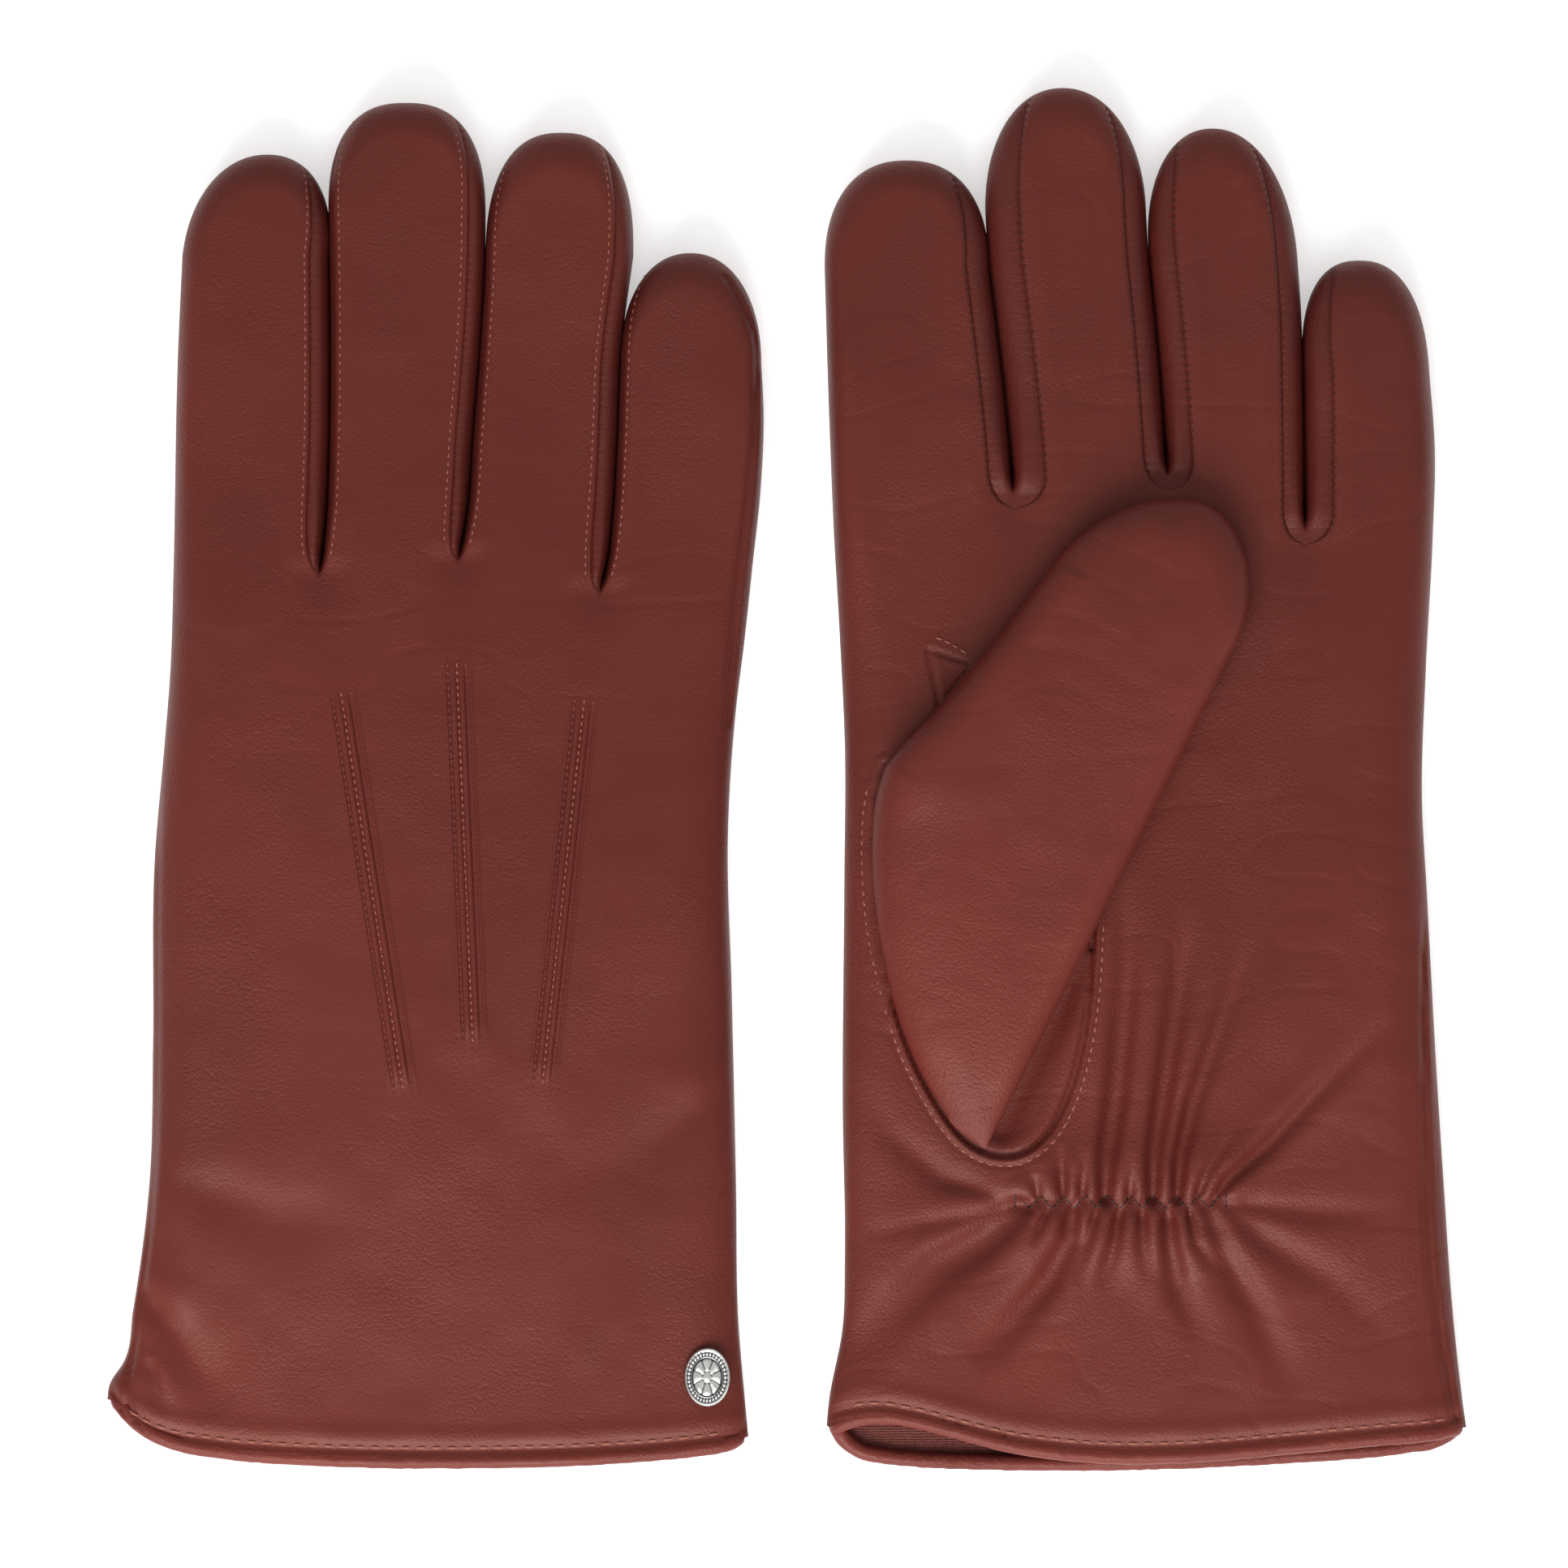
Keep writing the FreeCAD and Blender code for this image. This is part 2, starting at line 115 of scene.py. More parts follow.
def noise(x, y, size, seed=0):
    """Smooth bumps about size across, from about -1 to 1."""
    x, y = x / size, y / size
    ix, iy = np.floor(x), np.floor(y)
    fx, fy = x - ix, y - iy
    ux = fx ** 3 * (fx * (6 * fx - 15) + 10)
    uy = fy ** 3 * (fy * (6 * fy - 15) + 10)
    low = mix(lattice(ix, iy, seed), lattice(ix + 1, iy, seed), ux)
    high = mix(lattice(ix, iy + 1, seed), lattice(ix + 1, iy + 1, seed), ux)
    return mix(low, high, uy)


def nearest(x, y, line):
    """For each place, of the nearest point on an open line: its distance, the place's side of the line
    (1 left, -1 right), and how far along the line the point is (0 to 1)."""
    best = np.full(np.shape(x), 1e9)
    side, share = np.ones(np.shape(x)), np.zeros(np.shape(x))
    for k, ((x0, y0), (x1, y1)) in enumerate(zip(line[:-1], line[1:])):
        dx, dy = x1 - x0, y1 - y0
        along = np.clip(((x - x0) * dx + (y - y0) * dy) / (dx * dx + dy * dy), 0, 1)
        distance = np.hypot(x - x0 - along * dx, y - y0 - along * dy)
        closer = distance < best
        side = np.where(closer, np.sign(dx * (y - y0) - dy * (x - x0)), side)
        share = np.where(closer, (k + along) / (len(line) - 1), share)
        best = np.minimum(best, distance)
    return best, side, share


def fold(x, y, depth, width, line):
    """A valley that starts narrow, widens and fades along a line, with swollen sides."""
    distance, _, share = nearest(x, y, line)
    wide = width * (0.42 + 0.58 * np.sqrt(share))
    deep = 1.3 * depth * (1 - share ** 2) * mix(0.55, 1.0, smooth(share * 7))
    return deep * (0.32 * bell(distance - 2.1 * wide, 1.5 * wide) - bell(distance, wide))


def distances_along(points):
    """How far along a line each of its points is."""
    return np.concatenate([[0], np.cumsum(np.linalg.norm(np.diff(points, axis=0), axis=1))])


def values_at(where, distances, values):
    """Rows of values between those that are known at distances."""
    return np.stack([np.interp(where, distances, column) for column in values.T], axis=1)


def stations(distances, step):
    return np.arange(step / 2, distances[-1] - step / 4, step)


def spline_line(points, count=12):
    """A finer line through plan points."""
    t = np.arange(len(points))
    fx = curve(*[(i, p[0]) for i, p in enumerate(points)])
    fy = curve(*[(i, p[1]) for i, p in enumerate(points)])
    fine = np.linspace(0, t[-1], (len(points) - 1) * count + 1)
    return np.stack([fx(fine), fy(fine)], axis=1)


# ---- meshes ---------------------------------------------------------------------------------

def mesh_object(name, points, faces, material):
    mesh = bpy.data.meshes.new(name)
    mesh.from_pydata((np.asarray(points) * MM).tolist(), [], np.asarray(faces).tolist())
    mesh.polygons.foreach_set("use_smooth", np.ones(len(mesh.polygons), bool))
    rest = mesh.attributes.new("rest", "FLOAT_VECTOR", "POINT")
    rest.data.foreach_set("vector", (np.asarray(points) * MM).astype(np.float32).ravel())
    mesh.materials.append(material)
    obj = bpy.data.objects.new(name, mesh)
    bpy.context.scene.collection.objects.link(obj)
    return obj


def grid_faces(rows, columns, start, flip, closed=False):
    """Quads of a grid of rows by columns whose first vertex is start."""
    r, c = np.meshgrid(np.arange(rows - 1), np.arange(columns if closed else columns - 1), indexing="ij")
    right = (c + 1) % columns
    quads = np.stack([r * columns + c, r * columns + right,
                      (r + 1) * columns + right, (r + 1) * columns + c], axis=-1).reshape(-1, 4) + start
    return quads[:, ::-1] if flip else quads


def grids_object(name, grids, material):
    """One object from (rows x columns x 3 points, flip) grids. A lower face is flipped."""
    points, faces, start = [], [], 0
    for grid, flip in grids:
        rows, columns = grid.shape[:2]
        points.append(grid.reshape(-1, 3))
        faces.append(grid_faces(rows, columns, start, flip))
        start += rows * columns
    points, faces = np.concatenate(points), np.concatenate(faces)
    a, b, c, d = (points[faces[:, k]] for k in range(4))
    area = np.linalg.norm(np.cross(c - a, d - b), axis=1)
    return mesh_object(name, points, faces[area > 1e-4], material)


def tube_object(name, path, radius, material, around, lump):
    """A closed, slightly lumpy tube along a closed path of points."""
    ahead = unit(np.roll(path, -1, axis=0) - np.roll(path, 1, axis=0))
    side = unit(np.cross(ahead, (0.0, 1.0, 0.0)))
    up = np.cross(side, ahead)
    angle = np.linspace(0, 2 * np.pi, around, endpoint=False)
    at = np.arange(len(path))[:, None]
    r = radius * (1 + lump * noise(at * 1.0, angle[None, :] * 3, 2.3, 5))
    points = (path[:, None] + side[:, None] * (r * np.cos(angle))[..., None]
              + up[:, None] * (r * np.sin(angle))[..., None])
    faces = grid_faces(len(path) + 1, around, 0, True, closed=True) % (len(path) * around)
    return mesh_object(name, points.reshape(-1, 3), faces, material)


def stitch_template():
    """A small thread lying along X, 1 long and 1 across, with rounded ends that dip."""
    share = np.linspace(0, 1, 7)[:, None]
    angle = np.linspace(0, 2 * np.pi, 8, endpoint=False)[None, :]
    radius = 0.5 * np.sin(np.pi * np.clip(share, 0.02, 0.98)) ** 0.45
    height = radius * np.sin(angle) - 0.9 * (2 * share - 1) ** 4
    points = np.stack([share - 0.5 + 0 * angle, radius * np.cos(angle), height], axis=-1)
    return points.reshape(-1, 3), grid_faces(7, 8, 0, False, closed=True)


def stitches_object(name, lines, material, length, thickness):
    """Threads on lines of (points, directions, normals)."""
    template, quads = stitch_template()
    points, faces, start = [], [], 0
    for places, directions, normals in lines:
        sides = np.cross(normals, directions)
        for p, d, n, s in zip(places, directions, normals, sides):
            local = template * (length, thickness, thickness)
            points.append(p + local[:, :1] * d + local[:, 1:2] * s + local[:, 2:] * n)
            faces.append(quads + start)
            start += len(template)
    return mesh_object(name, np.concatenate(points), np.concatenate(faces), material)


def weld_normals(objects):
    """Gives vertices that share a place one normal, so that pieces meet with no visible edge."""
    places, normals = [], []
    for obj in objects:
        count = len(obj.data.vertices)
        co = np.zeros(count * 3, np.float32)
        obj.data.vertices.foreach_get("co", co)
        no = np.zeros(count * 3, np.float32)
        obj.data.vertex_normals.foreach_get("vector", no)
        places.append(np.round(co.reshape(-1, 3) * 1e5).astype(np.int64))
        normals.append(no.reshape(-1, 3))
    _, index = np.unique(np.concatenate(places), axis=0, return_inverse=True)
    index = index.ravel()
    total = np.zeros((index.max() + 1, 3))
    np.add.at(total, index, np.concatenate(normals))
    shared = unit(total)[index]
    start = 0
    for obj, place in zip(objects, places):
        obj.data.normals_split_custom_set_from_vertices(shared[start:start + len(place)].tolist())
        start += len(place)


# ---- materials ------------------------------------------------------------------------------

class Nodes:
    """A short way to write a material's nodes."""

    def __init__(self, name):
        self.material = bpy.data.materials.new(name)
        self.material.use_nodes = True
        self.tree = self.material.node_tree
        self.shader = self.tree.nodes["Principled BSDF"]

    def feed(self, node, inputs):
        """Links an output, or sets a value, on each named socket."""
        for key, value in inputs.items():
            socket = node.inputs[key.replace("_", " ")]
            if hasattr(value, "is_output"):
                self.tree.links.new(value, socket)
            else:
                socket.default_value = value

    def add(self, kind, **inputs):
        node = self.tree.nodes.new(kind)
        self.feed(node, inputs)
        return node

    def shade(self, **inputs):
        self.feed(self.shader, inputs)

    def attribute(self, name, output):
        node = self.tree.nodes.new("ShaderNodeAttribute")
        node.attribute_name = name
        return node.outputs[output]

    def ramp(self, value, *stops):
        node = self.add("ShaderNodeValToRGB", Fac=value)
        ramp = node.color_ramp
        while len(ramp.elements) < len(stops):
            ramp.elements.new(0.5)
        for element, (position, colour) in zip(ramp.elements, stops):
            element.position = position
            element.color = (*colour, 1)
        return node.outputs["Color"]

    def math(self, operation, a, b):
        node = self.tree.nodes.new("ShaderNodeMath")
        node.operation = operation
        for socket, value in zip(node.inputs, (a, b)):
            if hasattr(value, "is_output"):
                self.tree.links.new(value, socket)
            else:
                socket.default_value = value
        return node.outputs[0]

    def bump(self, height, distance):
        return self.add("ShaderNodeBump", Height=height, Distance=distance, Strength=1.0).outputs["Normal"]

    def wave(self, direction, **inputs):
        node = self.add("ShaderNodeTexWave", **inputs)
        node.bands_direction = direction
        return node.outputs["Fac"]


def grey(value):
    return (value,) * 3


def leather(name, dark, light, cell=0.00055, depth=0.000055, roughness=(0.44, 0.54)):
    """Smooth dyed leather: a fine pebble grain that comes and goes, and a slow change of colour."""
    n = Nodes(name)
    place = n.attribute("rest", "Vector")
    patch = n.add("ShaderNodeTexNoise", Vector=place, Scale=24.0, Detail=3.0, Roughness=0.5).outputs["Fac"]
    pebble = n.add("ShaderNodeTexVoronoi", Vector=place, Scale=1 / cell).outputs["Distance"]
    fine = n.add("ShaderNodeTexNoise", Vector=place, Scale=2.4 / cell, Detail=3.0).outputs["Fac"]
    where = n.add("ShaderNodeTexNoise", Vector=place, Scale=38.0, Detail=2.0).outputs["Fac"]
    strength = n.ramp(where, (0.36, grey(0.35)), (0.62, grey(1.0)))
    domes = n.math("MULTIPLY", n.math("MULTIPLY", pebble, pebble), -1.6)
    height = n.math("ADD", domes, n.math("MULTIPLY", fine, 0.5))
    n.shade(Base_Color=n.ramp(patch, (0.32, dark), (0.70, light)),
            Roughness=n.ramp(where, (0.35, grey(roughness[0])), (0.65, grey(roughness[1]))),
            Normal=n.bump(n.math("MULTIPLY", height, strength), depth),
            Specular_IOR_Level=0.34, Specular_Tint=(1.0, 0.72, 0.62, 1))
    return n.material


def knit(name):
    """The lining: fine ribs of knitted loops. One height drives both the bumps and the colour: painted shade,
    darker in the hollows between the loops, with random tone from the fuzz.
    """
    n = Nodes(name)
    place = n.attribute("rest", "Vector")
    ribs = n.wave("X", Vector=place, Scale=520.0, Distortion=1.2, Detail=1.0)
    loops = n.wave("Y", Vector=place, Scale=640.0, Distortion=1.5, Detail=1.0)
    fuzz = n.add("ShaderNodeTexNoise", Vector=place, Scale=1500.0, Detail=3.0).outputs["Fac"]
    height = n.math("ADD", n.math("MULTIPLY", ribs, loops), fuzz)
    n.shade(Base_Color=n.ramp(height, (0.3, (0.085, 0.016, 0.012)), (1.0, (0.20, 0.048, 0.036))),
            Normal=n.bump(height, 0.0003), Roughness=0.95, Sheen_Weight=0.05)
    return n.material


def thread(name, colour):
    """Sewing thread with its twist. One wave drives both the twist's bumps and its colour, so the grooves get
    painted shade.
    """
    n = Nodes(name)
    twist = n.wave("DIAGONAL", Vector=n.attribute("rest", "Vector"), Scale=1400.0, Distortion=2.0)
    # The darker colour in the twist's grooves is painted shade.
    dark = tuple(0.6 * c for c in colour)
    n.shade(Base_Color=n.ramp(twist, (0.2, dark), (0.8, colour)), Normal=n.bump(twist, 0.00004), Roughness=0.6)
    return n.material


def silver(name):
    """Cast metal, polished on top and dark in its hollows."""
    n = Nodes(name)
    place = n.attribute("rest", "Vector")
    cast = n.add("ShaderNodeTexNoise", Vector=place, Scale=2500.0, Detail=3.0).outputs["Fac"]
    height = n.attribute("height", "Fac")
    n.shade(Base_Color=n.ramp(height, (0.25, (0.035, 0.035, 0.04)), (0.6, (0.74, 0.73, 0.71))),
            Roughness=n.ramp(cast, (0.3, grey(0.22)), (0.7, grey(0.38))),
            Normal=n.bump(cast, 0.00002), Metallic=1.0)
    return n.material


LEATHER = leather("leather", (0.093, 0.0130, 0.0096), (0.110, 0.0160, 0.0117))
# The side strips get a darker copy of the leather: painted shade, for strips that sit low between the fingers'
# raised panels.
SHADED_STRIP_LEATHER = leather("shaded_strip_leather", (0.078, 0.0110, 0.0085), (0.096, 0.0136, 0.0103))
# The thumb gets a lighter copy of the leather: painted light, as on the raised thumb that the lamp lights more.
LIT_THUMB_LEATHER = leather("thumb_leather", (0.103, 0.0146, 0.0108), (0.124, 0.0182, 0.0133))
BINDING_LEATHER = leather("binding_leather", (0.100, 0.0145, 0.0105), (0.130, 0.0195, 0.0145))
KNIT = knit("knit")
THREAD = thread("thread", (0.33, 0.100, 0.062))
# A darker copy of the thread: painted shade, for stitches that sit deep in the points' outer grooves.
SHADED_THREAD = thread("shaded_thread", (0.16, 0.032, 0.020))
DARK_THREAD = thread("dark_thread", (0.045, 0.006, 0.006))
SILVER = silver("silver")


# ---- the gloves' shapes ---------------------------------------------------------------------

class Slit:
    """The line between two fingers. Each face opens along it from its own crotch upwards."""

    def __init__(self, upper_crotch, lower_crotch, *points):
        self.crotch = {"upper": upper_crotch, "lower": lower_crotch}
        self.line = curve(*points)
        self.foot = points[0][0]


class Finger:
    def __init__(self, name, shoulder, tip, tip_x, power, strips, lower_strips, radii):
        self.name, self.shoulder, self.tip, self.tip_x, self.power = name, shoulder, tip, tip_x, power
        self.strips = {"upper": strips, "lower": lower_strips}
        self.radii = radii


def tip_puff(across, up, power, half, radius):
    """The rounding of a fingertip's edge, like quarter()."""
    rho = (np.abs(across) ** power + np.clip(up, 0, None) ** power) ** (1 / power)
    return quarter((1 - rho) * half / radius)


class Glove:
    """A glove's plan and its heights, as functions of x and y."""

    def __init__(self, side, **given):
        self.side = side
        self.__dict__.update(given)

    def slit(self, k, y):
        slit = self.slits[k]
        left, right = self.left(slit.foot), self.right(slit.foot)
        share = (slit.line(slit.foot) - left) / (right - left)
        below = mix(self.left(y), self.right(y), share)
        return np.where(y < slit.foot, below, slit.line(y))

    def borders(self, i, y):
        """The left and right border of finger i's column at y."""
        left = self.left(y) if i == 0 else self.slit(i - 1, y)
        right = self.right(y) if i == 3 else self.slit(i, y)
        return left, right

    def crotches(self, i, face):
        left = None if i == 0 else self.slits[i - 1].crotch[face]
        right = None if i == 3 else self.slits[i].crotch[face]
        return left, right

    def seam_strips(self, i, y, face):
        """How wide the side strips are, seen from this face."""
        widths = []
        for crotch, full in zip(self.crotches(i, face), self.fingers[i].strips[face]):
            if crotch is None:
                widths.append(np.zeros_like(y))
            else:
                share = np.clip((y - crotch) / self.strip_rise[face], 0, 1)
                widths.append(full * np.sqrt(1 - (1 - share) ** 2))
        return widths

    def puff(self, i, x, y, face):
        """The share of the full thickness at (x, y): 1 in the middle and 0 at the plan's edge."""
        finger = self.fingers[i]
        left, right = self.borders(i, y)
        radii = finger.radii if face == "upper" else (5.0, 5.0)
        shares = []
        for gap, crotch, radius in zip((x - left, right - x), self.crotches(i, face), radii):
            if crotch is None:
                shares.append(quarter(gap / mix(self.edge_radius, radius, smooth((y - 10) / 50))))
            else:
                opened = smooth((y - crotch - self.crotch_rise[face]) / 5)
                hollow = 0.16 * bell(y - crotch - 1, 7) * bell(gap, 4.5) * (1 - opened)
                narrow = mix(1.6, radius, smooth((y - crotch) / 22))
                shares.append((1 - opened * (1 - quarter(gap / narrow))) * (1 - hollow))
        flat = shares[0] * shares[1]
        across, up, half = self.tip_place(i, x, y)
        radius = mix(radii[0], radii[1], smooth(across + 0.5))
        radius = mix(radius, 5.5, smooth(up))
        return np.where(up > 0, tip_puff(across, up, finger.power, half, radius), flat)

    def tip_place(self, i, x, y):
        """Where (x, y) is in a fingertip: -1 to 1 across, 0 to 1 up, and half the finger's width."""
        finger = self.fingers[i]
        left, right = self.borders(i, np.array(finger.shoulder))
        half, middle = (right - left) / 2, (left + right) / 2
        up = (y - finger.shoulder) / (finger.tip - finger.shoulder)
        centre = mix(middle, finger.tip_x, np.clip(up, 0, 1))
        return (x - centre) / half, up, half

    def height(self, i, x, y, face):
        """z of the leather's outside."""
        puff = self.puff(i, x, y, face)
        level = self.level(y)
        if face == "upper":
            full = self.top(y) + self.slope(x, y) - level
            return level + puff * full + self.relief(x, y) * np.minimum(1, 1.6 * puff)
        full = level - self.bottom(y) - self.dent(x, y)
        return level - puff * full + self.under_relief(x, y) * np.minimum(1, 1.6 * puff)

    def surface(self, x, y, face="upper"):
        """Points of a face of the hand at plan places, and the directions that point out of it."""
        x, y = np.asarray(x, float), np.asarray(y, float)

        def z(px, py):
            column = sum((px > self.slit(k, py)).astype(int) for k in range(3))
            return np.choose(column, [self.height(i, px, py, face) for i in range(4)])

        step = 0.25
        here = z(x, y)
        dx = (z(x + step, y) - z(x - step, y)) / (2 * step)
        dy = (z(x, y + step) - z(x, y - step)) / (2 * step)
        normal = unit(np.stack([-dx, -dy, np.ones_like(dx)], axis=-1))
        return np.stack([x, y, here], axis=-1), normal if face == "upper" else -normal


def soft(x, y, seed):
    """Soft unevenness of three sizes, each half as strong as the one before."""
    total = 0.0
    for k, size in enumerate((34.0, 15.0, 6.5)):
        total = total + 0.36 * 0.5 ** k * noise(x + 3.1 * k, y - 1.7 * k, size, seed + k)
    return total


def creases(x, y, size, stretch, seed):
    """Thin wrinkles, longer along x by stretch."""
    bend = 0.6 * size * noise(x, y, size * 3, seed + 9)
    ridge = 1 - np.abs(noise(x / stretch, y + bend, size, seed))
    return np.clip(ridge - 0.82, 0, 1) / 0.18


def groove(x, y, line, depth, width):
    """A seam's valley with a soft swelling on both sides."""
    d = nearest(x, y, line)[0]
    return -depth * bell(d, width) + 0.28 * depth * bell(d - 2.4 * width, 1.6 * width)


def thumb_seam(x, y):
    """The seam round the thumb hole: a groove, a rolled lip outside it, and a row of stitches."""
    d, side, _ = nearest(x, y, THUMB_SEAM)
    out = -d * side
    under_fold = -1.5 * bell(nearest(x, y, THUMB_FOLD)[0], 2.9) * (out < 0)
    row = 0.5 + 0.5 * np.cos(2 * np.pi * y / 1.9)
    stitched = -(0.22 + 0.10 * row) * bell(out - 1.95, 0.42)
    lips = 0.70 * bell(out - 1.0, 0.55) + 0.25 * bell(out + 2.2, 1.4)
    return under_fold + stitched - 0.95 * bell(d, 0.55) + lips


def cuff_relief(x, y, cuff):
    """The dip under the row of stitches above the binding."""
    above = y - cuff(x) - CUFF_STITCH_RISE
    pucker = 0.5 + 0.5 * np.cos(2 * np.pi * x / CUFF_STITCH_PITCH)
    row = -(0.32 + 0.08 * pucker) * bell(above, 0.6) + 0.28 * bell(above - 2.4, 1.6)
    return row - 0.60 * bell(above + 0.9, 0.35)


# The thumb, in its own plan frame: side is to the right of along.
THUMB_ALONG = np.array([0.443, 0.897])
THUMB_SIDE = np.array([0.897, -0.443])
THUMB_HEEL = -3.5
THUMB_WIDEST = 52.5
THUMB_SHOULDER = 100.0
THUMB_TIP = 122.8
THUMB_TIP_SIDE = -18.0
THUMB_POWER = 1.8
THUMB_HEEL_LEFT = curve((-3.5, -2.2), (-2.8, -6.8), (-0.3, -12.0), (3.0, -17.6), (7.9, -23.8), (19.4, -34.3),
                        (28.4, -40.7), (38.9, -46.5), (47.3, -49.6), (52.5, -50.4))
THUMB_FREE_LEFT = curve((52.5, -50.4), (56, -49.6), (67, -46.4), (81, -42.8), (100, -39.0))


def thumb_edges(t):
    """Left and right edge of the thumb below its rounded tip."""
    left = np.where(t < THUMB_WIDEST, THUMB_HEEL_LEFT(t), THUMB_FREE_LEFT(t))
    right = -1.8 + 0.0 * t
    return left, right


def thumb_plan(glove, x, y):
    """Plan place in the thumb's frame."""
    dx, dy = x - glove.thumb_heel[0], y - glove.thumb_heel[1]
    return dx * THUMB_SIDE[0] + dy * THUMB_SIDE[1], dx * THUMB_ALONG[0] + dy * THUMB_ALONG[1]


def thumb_mask(glove, x, y, margin):
    """1 under the thumb, falling to 0 over margin outside it."""
    s, t = thumb_plan(glove, x, y)
    left, right = thumb_edges(np.clip(t, THUMB_HEEL, THUMB_TIP))
    inside = smooth((s - left + margin) / margin) * smooth((right + margin - s) / margin)
    return inside * smooth((t - THUMB_HEEL + margin) / margin) * smooth((THUMB_TIP - t) / (2 * margin) + 0.4)


# -- the right glove, back up --

RIGHT_FOLDS = (
    (0.9, 4.0, ((-121.0, -96.5), (-114.4, -104.5), (-109.3, -112.6), (-106.8, -119.5))),
    (0.6, 1.6, ((-119.8, -109.5), (-117.6, -119.5))),
    (0.5, 7.0, ((-112.0, -76.0), (-96.0, -82.0), (-78.0, -84.0))),
    (0.4, 6.0, ((-14.0, -60.0), (-30.0, -72.0), (-50.0, -76.0))),
)
RIGHT_EDGE = spline_line([(-118.0, 8.0), (-118.3, -20.0), (-118.5, -50.0), (-119.3, -76.0), (-122.2, -103.0),
                          (-124.0, -113.0), (-123.6, -122.5)])
RIGHT_SEAM = spline_line([(-11.9, 94.0), (-6.6, 83.0), (-6.4, 70.0), (-7.4, 56.0), (-10.0, 33.0),
                          (-11.6, 10.0)])


def right_relief(x, y):
    knuckles = bell(y - 30, 14)
    relief = soft(x, y, 3)
    relief -= 0.10 * creases(x, y, 7.0, 3.0, 21) * (0.25 + knuckles)
    relief += groove(x, y, RIGHT_SEAM, 0.7, 0.45) + groove(x, y, RIGHT_EDGE, 0.7, 0.45)
    relief += sum(fold(x, y, depth, width, line) for depth, width, line in RIGHT_FOLDS)
    relief += cuff_relief(x, y, RIGHT.cuff["upper"])
    near_points = np.minimum.reduce([nearest(x, y, point)[0] for point in RIGHT.points])
    return relief + 0.25 * bell(near_points, 5)


RIGHT = Glove(
    "right",
    palm_up=False,
    stitch_inset=1.05,
    centre=-64.0,
    left=curve((-128, -128.6), (-117, -128.2), (-113.5, -127.6), (-109.5, -125.0), (-100, -123.3),
               (-76, -120.2), (-50, -119.5), (-15, -119.1), (6, -117.3), (20, -116.2), (40, -115.6),
               (80, -114.8), (98, -114.0)),
    right=curve((-128, -7.2), (-117, -8.3), (-103, -9.5), (-76, -10.0), (-40, -10.8), (-10, -11.5),
                (13, -10.0), (26, -8.4), (40, -6.9), (54, -5.4), (67, -4.8), (81, -5.4)),
    slits=(
        Slit(38.7, 47.0, (38.7, -87.9), (50, -86.8), (60, -86.4), (80, -86.2), (98, -86.4), (108, -86.6)),
        Slit(41.3, 49.0, (41.3, -61.9), (50, -60.4), (64, -59.4), (83, -57.9), (98, -57.1), (108, -57.0)),
        Slit(35.2, 44.0, (35.2, -35.4), (41, -34.1), (50, -33.1), (64, -32.3), (80, -31.6), (98, -29.3)),
    ),
    fingers=(
        Finger("index", 98.0, 117.2, -98.0, 2.15, (0, 3.5), (0, 4.6), (4.2, 3.2)),
        Finger("middle", 106.0, 126.9, -72.0, 2.5, (0.9, 3.0), (4.5, 4.5), (2.6, 3.2)),
        Finger("ring", 98.0, 121.3, -42.8, 2.45, (0.8, 3.4), (4.5, 4.5), (2.6, 3.2)),
        Finger("little", 78.0, 98.7, -18.6, 2.15, (0.8, 0), (4.5, 0), (2.6, 4.5)),
    ),
    strip_rise={"upper": 13.0, "lower": 8.0},
    crotch_rise={"upper": -1.0, "lower": 1.5},
    edge_radius=11.0,
    level=curve((-130, 5.2), (-60, 6.0), (0, 7.0), (60, 6.0), (127, 5.8)),
    top=curve((-130, 8.6), (-112, 9.55), (-95, 11.0), (-60, 13.6), (-20, 14.8), (20, 14.4), (58, 12.3),
              (127, 11.2)),
    bottom=curve((-130, 1.3), (-60, 0.9), (127, 0.9)),
    cuff={
        "upper": curve((-127.2, -116.6), (-125.8, -118.8), (-124.0, -120.6), (-121.4, -122.4), (-117, -124.3),
                       (-108, -126.0), (-90, -127.4), (-62, -127.9), (-35, -127.2), (-13, -125.2),
                       (-9.4, -124.6), (-8.2, -123.6)),
        "lower": curve((-127.2, -116.6), (-125.8, -118.6), (-124.0, -120.2), (-121.4, -122.0), (-117, -123.8),
                       (-108, -125.4), (-90, -126.9), (-62, -127.4), (-35, -126.8), (-13, -124.8),
                       (-9.4, -124.3), (-8.2, -123.6)),
    },
    points=(
        ((-72.0, -59.2), (-84.0, 17.7)),
        ((-59.1, -50.5), (-62.2, 23.0)),
        ((-46.3, -58.3), (-38.2, 16.0)),
    ),
    thumb_heel=(-88.9, -67.0),
    badge=(-15.4, -112.1, 9.7),
)
RIGHT.slope = lambda x, y: -1.6 * smooth((x + 75) / 60) * smooth((y + 115) / 50) * smooth((75 - y) / 40)
RIGHT.dent = lambda x, y: 5.4 * thumb_mask(RIGHT, x, y, 4.0)
RIGHT.relief = right_relief
RIGHT.under_relief = lambda x, y: 0.4 * soft(x, y, 8)

# -- the left glove, palm up --

THUMB_SEAM = spline_line([
    (18.2, 3.0), (16.3, -3.0), (15.5, -12.0), (16.0, -24.0), (17.8, -35.0), (22.3, -50.3), (29.2, -63.2),
    (35.6, -69.4), (42.8, -70.2), (49.0, -65.4), (53.5, -55.0), (56.0, -41.0), (56.9, -26.0)])
THUMB_FOLD = ((39.5, -66.0), (57.5, -29.0))
GUSSET = ((28.2, 13.2), (25.9, 24.2), (34.2, 21.4))
LEFT_SEAM = spline_line([(119.4, -22.0), (118.8, -36.0), (119.0, -61.0), (119.8, -86.0), (121.8, -103.0),
                         (125.0, -120.0)])
GATHER_Y = -79.3
GATHER_X = (42.9, 81.4)
GATHER_PITCH = 4.2


